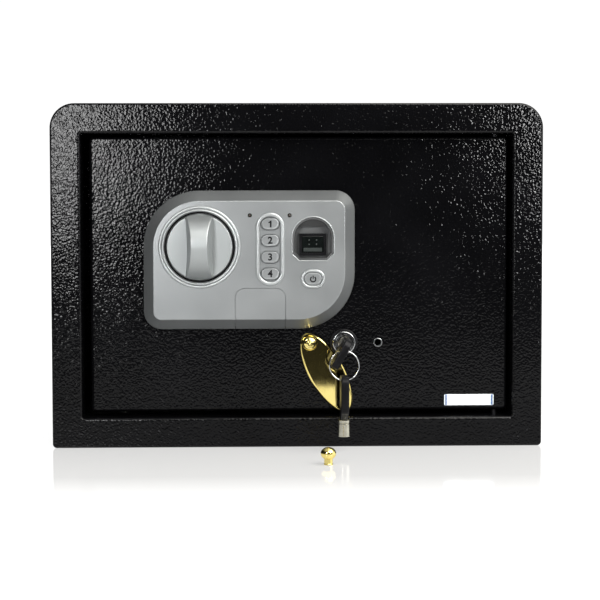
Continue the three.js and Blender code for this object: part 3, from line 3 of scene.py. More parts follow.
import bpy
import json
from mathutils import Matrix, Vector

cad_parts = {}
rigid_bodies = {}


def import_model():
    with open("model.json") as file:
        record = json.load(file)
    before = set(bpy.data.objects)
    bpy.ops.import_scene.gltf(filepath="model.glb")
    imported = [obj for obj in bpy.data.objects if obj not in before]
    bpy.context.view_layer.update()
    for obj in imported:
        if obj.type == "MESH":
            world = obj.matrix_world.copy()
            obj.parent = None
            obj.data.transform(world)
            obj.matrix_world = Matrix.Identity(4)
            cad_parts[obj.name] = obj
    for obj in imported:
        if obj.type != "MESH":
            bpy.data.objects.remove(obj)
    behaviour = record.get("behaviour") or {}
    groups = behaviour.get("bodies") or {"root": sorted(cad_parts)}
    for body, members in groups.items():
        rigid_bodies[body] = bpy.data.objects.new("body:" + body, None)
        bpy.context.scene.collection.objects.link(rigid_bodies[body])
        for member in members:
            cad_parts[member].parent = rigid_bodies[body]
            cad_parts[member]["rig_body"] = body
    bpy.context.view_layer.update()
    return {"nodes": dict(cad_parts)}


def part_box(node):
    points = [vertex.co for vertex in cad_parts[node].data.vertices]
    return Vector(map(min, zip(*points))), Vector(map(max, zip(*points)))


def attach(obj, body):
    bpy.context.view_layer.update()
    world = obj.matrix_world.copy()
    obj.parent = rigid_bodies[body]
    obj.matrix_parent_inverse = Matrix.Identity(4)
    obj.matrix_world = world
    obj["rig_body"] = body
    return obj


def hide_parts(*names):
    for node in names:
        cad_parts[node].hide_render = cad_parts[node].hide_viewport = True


bl_info = {
    "name": "Home Safe",
    "version": (1, 0, 0),
    "blender": (4, 5, 0),
    "location": "View3D > Sidebar > Home Safe",
    "description": "Builds the finished look of a small steel safe with a keypad and a fingerprint reader",
    "category": "Object",
}

import json
import math

import bmesh
import bpy
from bpy.props import FloatProperty, FloatVectorProperty, IntProperty, PointerProperty
from mathutils import Matrix, Vector

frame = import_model()
nodes = frame["nodes"]

QUARTER = math.pi / 2
SIDES = (-1, 1)


class Space:
    """Where a node is at rest, in metres. Its area is its left, bottom, right and top, seen from the front."""

    def __init__(self, node):
        self.low, self.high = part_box(node)
        self.centre = (self.low + self.high) / 2
        self.half = (self.high.x - self.low.x) / 2
        self.area = (self.low.x, self.low.z, self.high.x, self.high.z)


at_rest = {node: Space(node) for node in nodes}
sleeve, housing, knob, guide, lock = (
    at_rest[node] for node in ("body_shell", "panel_housing", "knob", "finger_guide", "lock_housing"))
front, back = at_rest["front_frame"].low.y, at_rest["back_panel"].high.y
face = at_rest["door_panel"].low.y


# Outlines are lists of (x, z) that run anticlockwise, seen from the front

SHARPEST = 0.00015  # the least radius that an inset corner keeps


def turns(steps, quarters=1):
    """Equal turns from none to a number of quarter circles, in radians."""
    return [i / steps * quarters * QUARTER for i in range(steps + 1)]


def rounded_loop(area, radii, count):
    """A rectangle with the corner radii of bottom left, bottom right, top right and top left."""
    left, bottom, right, top = area
    corners = ((left, bottom, 1, 1), (right, bottom, -1, 1), (right, top, -1, -1), (left, top, 1, -1))
    points = []
    for index, (x, z, in_x, in_z) in enumerate(corners):
        for i in range(count + 1):
            turn = ((index + 2) % 4 + i / count) * QUARTER
            points.append((x + radii[index] * (in_x + math.cos(turn)), z + radii[index] * (in_z + math.sin(turn))))
    return points


def inset_loop(area, radii, distance, count):
    left, bottom, right, top = area
    smaller = [max(radius - distance, SHARPEST) for radius in radii]
    return rounded_loop((left + distance, bottom + distance, right - distance, top - distance), smaller, count)


def pill_loop(area, distance, count=10):
    left, bottom, right, top = area
    return inset_loop(area, (min(right - left, top - bottom) / 2,) * 4, distance, count)


def area_around(x, z, width, height):
    return (x - width / 2, z - height / 2, x + width / 2, z + height / 2)


def offset_loop(points, distance):
    """Moves each point of an outline inwards, square to its neighbours."""
    moved = []
    for i, (x, z) in enumerate(points):
        before, after = points[i - 1], points[(i + 1) % len(points)]
        along = Vector((after[0] - before[0], after[1] - before[1])).normalized()
        moved.append((x - along.y * distance, z + along.x * distance))
    return moved


def circle_loop(x, z, radius, count):
    return [(x + radius * math.cos(turn), z + radius * math.sin(turn)) for turn in turns(count, 4)[:-1]]


def fillet(radius, depth, steps=5):
    """(inset, depth) pairs of a rounded edge that starts on the front and ends on the side."""
    return [(radius * (1 - math.sin(turn)), depth + radius * (1 - math.cos(turn))) for turn in turns(steps)]


# Meshes

POLE = 1e-7  # a turned ring with less than this radius is a point
CORNER_MERGE = 0.000002
FLAT_ANGLE = math.radians(0.5)


def new_piece(name, mesh):
    piece = bpy.data.objects.new(name, mesh)
    bpy.context.scene.collection.objects.link(piece)
    return piece


def ring_at(loop, y):
    return [Vector((x, y, z)) for x, z in loop]


def skin(name, vertices, rings, looped=False, capped=False):
    """Joins rings of vertex numbers into a skin. A looped one joins the last ring to the first."""
    faces = []
    for r in range(len(rings) if looped else len(rings) - 1):
        near, far = rings[r], rings[(r + 1) % len(rings)]
        for i in range(len(near)):
            following = (i + 1) % len(near)
            corners = tuple(dict.fromkeys((near[i], far[i], far[following], near[following])))
            if len(corners) > 2:
                faces.append(corners)
    if capped:
        faces += [tuple(rings[0]), tuple(reversed(rings[-1]))]
    mesh = bpy.data.meshes.new(name)
    mesh.from_pydata([tuple(v) for v in vertices], [], faces)
    shape = bmesh.new()
    shape.from_mesh(mesh)
    bmesh.ops.recalc_face_normals(shape, faces=shape.faces)
    shape.to_mesh(mesh)
    shape.free()
    return new_piece(name, mesh)


def loft(name, rings, looped=False):
    """Joins rings of points with equal counts, and closes both ends of one that isn't looped."""
    count = len(rings[0])
    numbers = [range(r * count, (r + 1) * count) for r in range(len(rings))]
    return skin(name, [v for ring in rings for v in ring], numbers, looped, not looped)


def lofted(name, loop_at, profile, looped=False):
    """A skin whose rings are an outline at each (inset, depth) of a profile."""
    return loft(name, [ring_at(loop_at(inset), y) for inset, y in profile], looped)


def lathe(name, profile, centre, count, looped=False):
    """Turns (radius, depth) pairs about the line through a centre that runs from front to back."""
    vertices, rings = [], []
    for radius, depth in profile:
        if radius < POLE:
            rings.append([len(vertices)] * count)
            vertices.append(Vector((0, depth, 0)))
        else:
            rings.append([len(vertices) + i for i in range(count)])
            vertices += ring_at(circle_loop(0, 0, radius, count), depth)
    piece = skin(name, vertices, rings, looped)
    piece.data.transform(Matrix.Translation((centre.x, 0, centre.z)))
    return piece


def rim(radius, edge, depth, steps, inwards=False):
    """(radius, depth) pairs round the outside of a turned piece's rounded edge, or its bore's, outwards."""
    pairs = fillet(edge, depth, steps)
    return [(radius + inset, y) for inset, y in reversed(pairs)] if inwards else [
        (radius - inset, y) for inset, y in pairs]


def plug_through(loop, near, far):
    """A plain prism, used as a cutter."""
    return loft("cutter", [ring_at(loop, near), ring_at(loop, far)])


def tablet(name, area, near, far, corner, edge, corner_steps, edge_steps):
    """A flat piece with rounded corners and a rounded front edge."""
    return lofted(
        name, lambda inset: inset_loop(area, (corner,) * 4, inset, corner_steps),
        fillet(edge, near, edge_steps) + [(0, far)])


def modified(piece):
    """Applies the piece's modifiers and leaves a plain mesh."""
    graph = bpy.context.evaluated_depsgraph_get()
    mesh = bpy.data.meshes.new_from_object(piece.evaluated_get(graph))
    old = piece.data
    piece.modifiers.clear()
    piece.data = mesh
    bpy.data.meshes.remove(old)
    return piece


def combine(piece, tools, operation="DIFFERENCE"):
    for tool in tools:
        step = piece.modifiers.new(operation.title(), "BOOLEAN")
        step.operation = operation
        step.solver = "EXACT"
        step.object = tool
        modified(piece)
        bpy.data.objects.remove(tool)
    return piece


def settle(piece, body, finish, node=None, degrees=32):
    """Shades a finished piece, gives it its finish, body and slot, and hides the node that it stands for."""
    piece.data.shade_smooth()
    piece.data.set_sharp_from_angle(angle=math.radians(degrees))
    flats = piece.modifiers.new("Flats", "WEIGHTED_NORMAL")
    flats.weight = 100
    flats.keep_sharp = True
    modified(piece)
    piece.data.materials.clear()
    piece.data.materials.append(finishes[finish])
    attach(piece, body)
    if node:
        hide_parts(node)


def refinished(node, finish):
    """A CAD node's own shape, with its corners merged, as a piece with a finish."""
    mesh = nodes[node].data.copy()
    shape = bmesh.new()
    shape.from_mesh(mesh)
    bmesh.ops.remove_doubles(shape, verts=shape.verts, dist=CORNER_MERGE)
    bmesh.ops.dissolve_limit(shape, angle_limit=FLAT_ANGLE, verts=shape.verts, edges=shape.edges)
    shape.to_mesh(mesh)
    shape.free()
    settle(new_piece(f"{node}_finish", mesh), nodes[node]["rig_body"], finish, node, degrees=35)


# Node trees


def add_node(tree, kind, values):
    """Adds a node and fills its inputs or settings by name, in order. A socket is linked to the input."""
    node = tree.nodes.new(kind)
    for label, value in values.items():
        if isinstance(value, bpy.types.NodeSocket):
            tree.links.new(value, node.inputs[label])
        elif isinstance(label, int) or label in node.inputs:
            node.inputs[label].default_value = value
        else:
            setattr(node, label, value)
    return node.outputs


class Pattern:
    """A Geometry Nodes tree with named inputs, which ends in Realize Instances and Set Material."""

    kinds = {float: "NodeSocketFloat", int: "NodeSocketInt"}

    def __init__(self, name, sizes):
        self.tree = bpy.data.node_groups.new(name, "GeometryNodeTree")
        sockets = self.tree.interface
        sockets.new_socket("Geometry", in_out="INPUT", socket_type="NodeSocketGeometry")
        self.identifiers = {}
        for label, default in sizes.items():
            socket = sockets.new_socket(label, in_out="INPUT", socket_type=self.kinds[type(default)])
            socket.default_value = default
            self.identifiers[label] = socket.identifier
        paint = sockets.new_socket("Material", in_out="INPUT", socket_type="NodeSocketMaterial")
        self.identifiers["Material"] = paint.identifier
        sockets.new_socket("Geometry", in_out="OUTPUT", socket_type="NodeSocketGeometry")
        self.inputs = self.add("NodeGroupInput", {})

    def add(self, kind, values):
        return add_node(self.tree, kind, values)

    def end(self, geometry):
        real = self.add("GeometryNodeRealizeInstances", {"Geometry": geometry})["Geometry"]
        painted = self.add("GeometryNodeSetMaterial", {"Geometry": real, "Material": self.inputs["Material"]})
        self.add("NodeGroupOutput", {"Geometry": painted["Geometry"]})
        return self

    def run(self, name, finish, values, points=(), edges=()):
        """The plain mesh that the tree makes from points and edges."""
        mesh = bpy.data.meshes.new(name)
        mesh.from_pydata(points, edges, [])
        piece = new_piece(name, mesh)
        step = piece.modifiers.new("Nodes", "NODES")
        step.node_group = self.tree
        for label, value in {**values, "Material": finishes[finish]}.items():
            step[self.identifiers[label]] = value
        return modified(piece)


def bead_pattern():
    """Sweeps an oval bead along a closed outline made of edges."""
    bead = Pattern("Bead", {"Width": 0.002, "Height": 0.001, "Sides": 16})
    path = bead.add("GeometryNodeMeshToCurve", {"Mesh": bead.inputs["Geometry"]})
    facing = bead.add("FunctionNodeInputVector", {"vector": (0.0, -1.0, 0.0)})
    tilt = bead.add("GeometryNodeSetCurveNormal", {
        "mode": "FREE", "Curve": path["Curve"], "Normal": facing["Vector"]})
    circle = bead.add("GeometryNodeCurvePrimitiveCircle", {"Radius": 0.5, "Resolution": bead.inputs["Sides"]})
    scale = bead.add("ShaderNodeCombineXYZ", {"X": bead.inputs["Height"], "Y": bead.inputs["Width"], "Z": 1.0})
    oval = bead.add("GeometryNodeTransform", {"Geometry": circle["Curve"], "Scale": scale["Vector"]})
    sweep = bead.add("GeometryNodeCurveToMesh", {"Curve": tilt["Curve"], "Profile Curve": oval["Geometry"]})
    return bead.end(sweep["Mesh"])


def dome_pattern():
    """Sets a small dome at each point, facing the front."""
    dome = Pattern("Domes", {"Radius": 0.0004, "Flatness": 0.5, "Rings": 8})
    ball = dome.add("GeometryNodeMeshUVSphere", {"Radius": dome.inputs["Radius"], "Rings": dome.inputs["Rings"]})
    squeeze = dome.add("ShaderNodeCombineXYZ", {"X": 1.0, "Y": dome.inputs["Flatness"], "Z": 1.0})
    spread = dome.add("GeometryNodeInstanceOnPoints", {
        "Points": dome.inputs["Geometry"], "Instance": ball["Mesh"], "Scale": squeeze["Vector"]})
    return dome.end(spread["Instances"])


def wire_ring_pattern():
    """A ring of round wire about the line from front to back."""
    wire = Pattern("Wire ring", {"Radius": 0.0103, "Wire": 0.0006, "Steps": 96})
    path = wire.add("GeometryNodeCurvePrimitiveCircle", {
        "Radius": wire.inputs["Radius"], "Resolution": wire.inputs["Steps"]})
    section = wire.add("GeometryNodeCurvePrimitiveCircle", {"Resolution": 14, "Radius": wire.inputs["Wire"]})
    sweep = wire.add("GeometryNodeCurveToMesh", {"Curve": path["Curve"], "Profile Curve": section["Curve"]})
    stand = wire.add("GeometryNodeTransform", {"Rotation": (QUARTER, 0.0, 0.0), "Geometry": sweep["Mesh"]})
    return wire.end(stand["Geometry"])


def teeth_pattern():
    """A row of small flat wedges, one above the other."""
    teeth = Pattern("Teeth", {"Count": 8, "Pitch": 0.001, "Length": 0.001, "Thickness": 0.00005})
    step = teeth.add("ShaderNodeCombineXYZ", {"Z": teeth.inputs["Pitch"]})
    line = teeth.add("GeometryNodeMeshLine", {
        "mode": "OFFSET", "Count": teeth.inputs["Count"], "Offset": step["Vector"]})
    wedge = teeth.add("GeometryNodeMeshCylinder", {"Vertices": 3, "Radius": 1.0, "Depth": 1.0})
    lay = teeth.add("GeometryNodeTransform", {"Rotation": (QUARTER, 0.0, 0.0), "Geometry": wedge["Mesh"]})
    size = teeth.add("ShaderNodeCombineXYZ", {
        "X": teeth.inputs["Length"], "Y": teeth.inputs["Thickness"], "Z": teeth.inputs["Pitch"]})
    spread = teeth.add("GeometryNodeInstanceOnPoints", {
        "Points": line["Mesh"], "Instance": lay["Geometry"], "Scale": size["Vector"]})
    return teeth.end(spread["Instances"])


# Finishes


class Finish:
    """A material under construction. Each method adds one layer of its look."""

    def __init__(self, name, roughness, sockets=None):
        self.material = bpy.data.materials.new(name)
        self.material.use_nodes = True
        self.tree = self.material.node_tree
        self.shader = self.tree.nodes["Principled BSDF"]
        for label, value in {"Roughness": roughness, **(sockets or {})}.items():
            self.shader.inputs[label].default_value = value
        self.place = self.add("TexCoord", {})["Object"]
        self.noises = {}
        self.height = None

    def add(self, kind, values):
        return add_node(self.tree, f"ShaderNode{kind}", values)

    def feed(self, label, socket):
        self.tree.links.new(socket, self.shader.inputs[label])

    def noise(self, size, detail=2.0, stretch=(1, 1, 1)):
        """A noise whose lumps are about one size across, in metres. The same noise is made once."""
        lumps = (size, detail, stretch)
        if lumps not in self.noises:
            place = self.add("Mapping", {"Scale": stretch, "Vector": self.place})["Vector"]
            self.noises[lumps] = self.add("TexNoise", {"Scale": 1 / size, "Detail": detail, "Vector": place})["Fac"]
        return self.noises[lumps]

    def cells(self, size):
        """Soft round cells of one size, in metres."""
        return self.add("TexVoronoi", {
            "feature": "SMOOTH_F1", "Scale": 1 / size, "Smoothness": 1.0, "Vector": self.place})["Distance"]

    def ramp(self, value, low, high, first, last):
        """Maps a value from one range of numbers to another."""
        return self.add("MapRange", {
            "Value": value, "From Min": low, "From Max": high, "To Min": first, "To Max": last})["Result"]

    def sum(self, first, second, share):
        """first plus a share of second."""
        return self.add("Math", {"operation": "MULTIPLY_ADD", 0: second, 1: share, 2: first})["Value"]

    def colour(self, value, dark, light):
        mix = self.add("Mix", {"data_type": "RGBA", "A": (*dark, 1), "B": (*light, 1), "Factor": value})
        self.feed("Base Color", mix["Result"])

    def gloss(self, value, roughness):
        self.feed("Roughness", self.ramp(value, 0.3, 0.7, *roughness))

    def bump(self, value, depth, strength=1.0):
        below = {"Normal": self.height} if self.height else {}
        self.height = self.add("Bump", {"Strength": strength, "Distance": depth, "Height": value, **below})["Normal"]
        self.feed("Normal", self.height)


def crinkle_paint():
    """Glossy black powder coat with a pebbled skin."""
    finish = Finish("Crinkle paint", 0.16, {"Specular IOR Level": 0.17})
    finish.bump(finish.sum(finish.noise(0.0015, 0.8), finish.cells(0.0017), 0.3), 0.00028)
    smudges = finish.noise(0.06, 3.0)
    finish.colour(finish.ramp(smudges, 0.3, 0.75, 0, 1), (0.0016, 0.0016, 0.0019), (0.0032, 0.0032, 0.0038))
    finish.gloss(smudges, (0.06, 0.08))
    return finish.material


def felt():
    finish = Finish("Felt", 0.95, {"Sheen Weight": 0.4})
    fibres = finish.noise(0.0006, 4.0, (1, 1, 0.4))
    finish.bump(fibres, 0.0003)
    finish.colour(fibres, (0.008, 0.008, 0.01), (0.03, 0.03, 0.034))
    return finish.material


def silver_paint(name, light, dark, roughness=(0.36, 0.42), metallic=0.75, depth=0.000012):
    """Satin silver lacquer on moulded plastic, with its fine flake."""
    finish = Finish(name, roughness[0], {"Metallic": metallic})
    flake, cloud = finish.noise(0.00022, 1.0), finish.noise(0.03, 3.0)
    finish.bump(flake, depth, 0.5)
    finish.colour(finish.sum(finish.ramp(cloud, 0.3, 0.7, 0, 0.7), flake, 0.3), dark, light)
    finish.gloss(cloud, roughness)
    return finish.material


def moulded_black(name, roughness):
    """Fine-grained black with a little wear."""
    finish = Finish(name, roughness[0], {"Specular IOR Level": 0.13})
    finish.bump(finish.noise(0.0005, 3.0), 0.00002, 0.6)
    wear = finish.noise(0.008, 3.0)
    finish.colour(finish.ramp(wear, 0.35, 0.8, 0, 1), (0.003, 0.003, 0.0035), (0.009, 0.009, 0.0105))
    finish.gloss(wear, roughness)
    return finish.material


def coat(name, colours, tint, roughness, shine, bumps, metallic=0.0):
    """A finish whose colour, roughness and bumps each follow a noise, given as (size, detail, stretch)."""
    finish = Finish(name, roughness[0], {"Metallic": metallic})
    for lumps, depth, strength in bumps:
        finish.bump(finish.noise(*lumps), depth, strength)
    finish.colour(finish.noise(*tint), *colours)
    finish.gloss(finish.noise(*shine), roughness)
    return finish.material


def plated(name, dark, light, roughness, grain=(1, 1, 1)):
    """Bright plated metal with faint drawing marks."""
    marks = (0.0012, 3.0, grain)
    return coat(name, (dark, light), (0.006,), roughness, marks, [(marks, 0.000006, 0.5)], 1.0)


def plain_tint(name, dark, light, roughness, grain=0.0015):
    """A small piece's own colour, with a fine uneven skin."""
    skin = (grain, 3.0)
    return coat(name, (dark, light), skin, roughness, skin, [(skin, 0.00001, 0.5)])


def make_finishes():
    """Every finish by its name. Colours are linear, and a pair of numbers is the roughness from least to most."""
    scratches = (0.0009, 4.0, (1, 1, 0.15))
    return {
        "crinkle_paint": crinkle_paint(),
        "inner_paint": coat(
            "Satin inner paint", ((0.01, 0.01, 0.011), (0.022, 0.022, 0.024)), (0.03,), (0.4, 0.55), (0.04,),
            [((0.0007,), 0.00004, 0.6)]),
        "felt": felt(),
        "zinc_plate": plated("Zinc plate", (0.50, 0.51, 0.53), (0.66, 0.67, 0.68), (0.26, 0.4), (1, 6, 1)),
        "blackened_steel": plated("Blackened steel", (0.012, 0.012, 0.013), (0.03, 0.03, 0.031), (0.35, 0.5)),
        "chrome_plate": plated("Chrome plate", (0.60, 0.62, 0.63), (0.74, 0.75, 0.76), (0.08, 0.16)),
        "key_nickel": plated("Key nickel", (0.36, 0.35, 0.29), (0.62, 0.6, 0.5), (0.14, 0.24), (1, 1, 6)),
        "lock_chrome": plated("Lock chrome", (0.28, 0.287, 0.293), (0.4, 0.407, 0.413), (0.1, 0.18)),
        "polished_brass": coat(
            "Polished brass", ((0.82, 0.66, 0.21), (0.88, 0.74, 0.29)), (0.01, 3.0), (0.03, 0.07), scratches,
            [((0.012, 1.0), 0.00003, 0.35), (scratches, 0.000001, 0.4)], 1.0),
        "silver_plastic": silver_paint("Silver paint", (0.275, 0.287, 0.292), (0.25, 0.262, 0.267)),
        "knob_silver": silver_paint("Knob silver", (0.315, 0.333, 0.336), (0.29, 0.306, 0.31), (0.4, 0.46)),
        # The rims' silver is a lighter copy of the panel's with a little less roughness: the lighter tint is a painted
        # highlight on the beads
        "rim_silver_painted_highlight": silver_paint(
            "Rim silver painted highlight", (0.39, 0.41, 0.415), (0.36, 0.375, 0.38), (0.34, 0.38), depth=0.000004),
        # The ledge's lacquer is a much darker copy of the well's: painted shade under the well's arch
        "ledge_painted_shade": silver_paint(
            "Ledge painted shade", (0.04, 0.041, 0.042), (0.03, 0.031, 0.032), (0.3, 0.4), 0.6),
        "dark_plastic": silver_paint(
            "Well lacquer", (0.14, 0.144, 0.146), (0.11, 0.114, 0.116), (0.3, 0.4), 0.6),
        "black_plastic": moulded_black("Moulded black plastic", (0.28, 0.4)),
        "ink": moulded_black("Printing ink", (0.4, 0.5)),
        "sensor_glass": coat(
            "Reader glass", ((0.002, 0.0025, 0.0025), (0.006, 0.008, 0.0075)), (0.004,), (0.04, 0.12), (0.003, 4.0),
            [((0.002,), 0.000004, 0.3)]),
        "circuit_board": plain_tint("Circuit board", (0.01, 0.07, 0.02), (0.02, 0.13, 0.04), (0.35, 0.5)),
        "ribbon_sleeve": plain_tint("Ribbon sleeve", (0.28, 0.29, 0.31), (0.36, 0.37, 0.39), (0.4, 0.55)),
        "cell_wrap": plain_tint("Cell wrap", (0.02, 0.11, 0.06), (0.04, 0.17, 0.1), (0.25, 0.35), 0.01),
        "lamp_lens": plain_tint("Lamp lens", (0.02, 0.014, 0.012), (0.045, 0.03, 0.026), (0.12, 0.2), 0.001),
        "label_paper": plain_tint("Label paper", (0.74, 0.79, 0.83), (0.84, 0.88, 0.9), (0.45, 0.55), 0.0006),
        "label_blue": plain_tint("Label blue", (0.02, 0.09, 0.3), (0.04, 0.13, 0.36), (0.4, 0.5), 0.0006),
        "reader_strip": plain_tint(
            "Reader strip", (0.014, 0.018, 0.017), (0.026, 0.033, 0.031), (0.3, 0.4), 0.001),
    }


finishes = {}


# Sizes and colours that a user would change


def length(name, default, description):
    return FloatProperty(name=name, description=description, default=default, unit="LENGTH", subtype="DISTANCE")


def angle(name, degrees, description):
    return FloatProperty(name=name, description=description, default=math.radians(degrees), subtype="ANGLE")


class SafeCaseSettings(bpy.types.PropertyGroup):
    top_radius: length("Top corner", 0.0175, "Radius of the case's two upper corners")
    foot_radius: length("Bottom corner", 0.003, "Radius of the case's two lower corners")
    sheet: length("Sheet", 0.002, "Thickness of the folded steel")
    edge: length("Edge", 0.0015, "Rounding of the case's front and back edges")
    fold: length("Fold", 0.0022, "Radius of the fold round the doorway")
    flange_side: length("Side flange", 0.0214, "Width of the frame beside the doorway")
    flange_top: length("Top flange", 0.0215, "Height of the frame over the doorway")
    flange_bottom: length("Bottom flange", 0.0214, "Height of the frame under the doorway")
    anchor_radius: length("Anchor hole", 0.005, "Radius of the anchor bolt holes")
    anchor_spacing: length("Anchor spacing", 0.18, "Distance between two anchor holes")
    anchor_height: length("Anchor height", 0.122, "Height of the anchor holes in the back")
    anchor_inset: length("Anchor inset", 0.06, "Distance of the base's anchor holes from the back")


class SafePanelSettings(bpy.types.PropertyGroup):
    radius_top_left: length("Top left", 0.0402, "Corner radius round the knob")
    radius_top_right: length("Top right", 0.014, "Corner radius by the finger well")
    radius_bottom_right: length("Bottom right", 0.0402, "Corner radius by the power key")
    radius_bottom_left: length("Bottom left", 0.013, "Corner radius under the knob")
    height: length("Height", 0.013, "How far the panel's flat stands off the door")
    foot: length("Foot", 0.003, "Height of the upright rim at the door")
    bevel: length("Bevel", 0.0075, "Width of the sloped border")
    ridge: length("Ridge", 0.0009, "Radius of the rounded ridge round the flat")
    wall: length("Wall", 0.002, "Wall of the moulding")
    knob_gap: length("Knob gap", 0.0017, "Gap between the knob and its ring")
    flap_depth: length("Cover", 0.0016, "Thickness of the sliding port cover")
    flap_corner: length("Cover corner", 0.007, "Radius of the port cover's upper corners")
    seam: length("Seam", 0.0003, "Gap between pieces that fit")


class SafeKeypadSettings(bpy.types.PropertyGroup):
    centre_x: length("Keypad", -0.0195, "Middle of the keypad across the door")
    rim_top: length("Rim top", 0.1676, "Top of the keypad's raised rim")
    rim_height: length("Rim length", 0.0519, "Height of the rim from end to end")
    rim_width: length("Rim across", 0.0204, "Width of the rim from side to side")
    rim_band: length("Rim band", 0.0028, "Width of the raised band")
    key_edge: length("Key edge", 0.0006, "Rounding of the key caps")
    digit_size: length("Digit", 0.0068, "Type size of the digits")
    lamp_radius: length("Lamp", 0.00125, "Radius of the lamp lenses")


class SafeKnobSettings(bpy.types.PropertyGroup):
    waist: length("Waist", 0.0089, "Half width of the grip's foot at its middle")
    spread: length("Spread", 0.0102, "Half width of the grip's foot at its ends")
    draft: length("Draft", 0.0027, "How far the grip's sides lean in")
    crest_edge: length("Crest edge", 0.0012, "Rounding along the grip's crest")
    disc_edge: length("Disc edge", 0.0009, "Rounding of the knob's rim")


class SafeLockSettings(bpy.types.PropertyGroup):
    plate_length: length("Cover length", 0.032, "Half length of the brass cover")
    plate_width: length("Cover width", 0.0127, "Half width of the brass cover")
    roundness: FloatProperty(name="Roundness", description="How full the cover's outline is", default=1.85)
    hole_spacing: length("Hole spacing", 0.0492, "Distance between the cover's two holes")
    drop: angle("Drop", 61, "How far the hanging cover points below level")
    lean: angle("Lean", 0.66, "How far the cover's lower end stands forward")
    bow_turn: angle("Key turn", 29, "How far the inserted key's bow leans")
    ring_radius: length("Ring", 0.0103, "Radius of the key ring")
    ring_wire: length("Wire", 0.00042, "Radius of the key ring's wire")


class SafeStageSettings(bpy.types.PropertyGroup):
    floor_colour: FloatVectorProperty(
        name="Floor", description="Colour of the floor", default=(0.3, 0.3, 0.3), size=3, subtype="COLOR")
    lens: FloatProperty(name="Lens", description="Focal length on a 36 mm sensor", default=97.1)
    camera_distance: length("Camera distance", 1.2752, "Distance in front of the origin")
    camera_shift: length("Camera place", -0.0294, "Distance to the right of the middle")
    camera_height: length("Camera height", 0.1715, "Height above the floor")
    pitch: angle("Pitch", 3.291, "How far the camera looks down")
    roll: angle("Roll", 0.116, "Roll about the view")
    yaw: angle("Yaw", -1.553, "How far the camera looks to the left")
    corner_steps: IntProperty(name="Corner steps", description="Steps in each rounded corner", default=14, min=4)


# Case

DOORWAY_CORNER = 0.0012
PIN_BORE = 0.0028
PAST = 0.01  # how far a drill starts and ends outside the piece


def case_loop(distance):
    settings = bpy.context.scene.safe_case
    radii = (settings.foot_radius, settings.foot_radius, settings.top_radius, settings.top_radius)
    return inset_loop(sleeve.area, radii, distance, bpy.context.scene.safe_stage.corner_steps)


def doorway_loop(distance):
    """The doorway's outline, grown by a distance."""
    settings = bpy.context.scene.safe_case
    area = (
        sleeve.low.x + settings.flange_side, sleeve.low.z + settings.flange_bottom,
        sleeve.high.x - settings.flange_side, sleeve.high.z - settings.flange_top,
    )
    return inset_loop(area, (DOORWAY_CORNER,) * 4, -distance, bpy.context.scene.safe_stage.corner_steps)


def upright_cutter(x, y, low, high, radius):
    rod = plug_through(circle_loop(0, 0, radius, count=32), low, high)
    rod.data.transform(Matrix.Translation((x, y, 0)) @ Matrix.Rotation(QUARTER, 4, "X"))
    return rod


class SAFE_OT_case(bpy.types.Operator):
    """Build the case: its folded sleeve, front frame, back and hinge pins"""

    bl_idname = "safe.case"
    bl_label = "Case"

    def execute(self, context):
        settings = context.scene.safe_case
        half = settings.anchor_spacing / 2
        self.folded_sleeve(settings, half)
        self.front_frame(settings)
        self.back_panel(settings, half)
        for node in ("hinge_pin_top", "hinge_pin_bottom"):
            refinished(node, "blackened_steel")
        mat = nodes["floor_mat"].data.materials
        mat.clear()
        mat.append(finishes["felt"])
        return {"FINISHED"}

    def folded_sleeve(self, settings, half):
        near, far, sheet = sleeve.low.y, sleeve.high.y, settings.sheet
        piece = lofted("case_sleeve", case_loop, ((0, near), (0, far), (sheet, far), (sheet, near)), looped=True)
        base_y = back - settings.anchor_inset
        combine(piece, [
            upright_cutter(side * half, base_y, -sheet, 2 * sheet, settings.anchor_radius) for side in SIDES])
        settle(piece, "root", "crinkle_paint", "body_shell")

    def front_frame(self, settings):
        sheet, deep = settings.sheet, at_rest["front_frame"].high.y
        rings = [ring_at(case_loop(inset), y) for inset, y in fillet(settings.edge, front) + [(0, front + sheet)]]
        folds = [(sheet, front + sheet), (sheet, deep), (0, deep)] + fillet(settings.fold, front, steps=7)[::-1]
        rings += [ring_at(doorway_loop(grown), y) for grown, y in folds]
        piece = loft("case_front", rings, looped=True)
        axis = at_rest["hinge_pin_top"].centre
        combine(piece, [upright_cutter(axis.x, axis.y, -PAST, sleeve.high.z + PAST, PIN_BORE)])
        settle(piece, "root", "crinkle_paint", "front_frame")

    def back_panel(self, settings, half):
        edge, sheet, near = settings.edge, settings.sheet, at_rest["back_panel"].low.y
        rounded = [(inset, 2 * (back - edge / 2) - y) for inset, y in reversed(fillet(edge, back - edge))]
        piece = lofted("case_back", case_loop, [(0, near)] + rounded)
        holes = [
            circle_loop(side * half, settings.anchor_height, settings.anchor_radius, count=32) for side in SIDES]
        combine(piece, [plug_through(hole, near - sheet, back + sheet) for hole in holes])
        settle(piece, "root", "crinkle_paint", "back_panel")


# Door


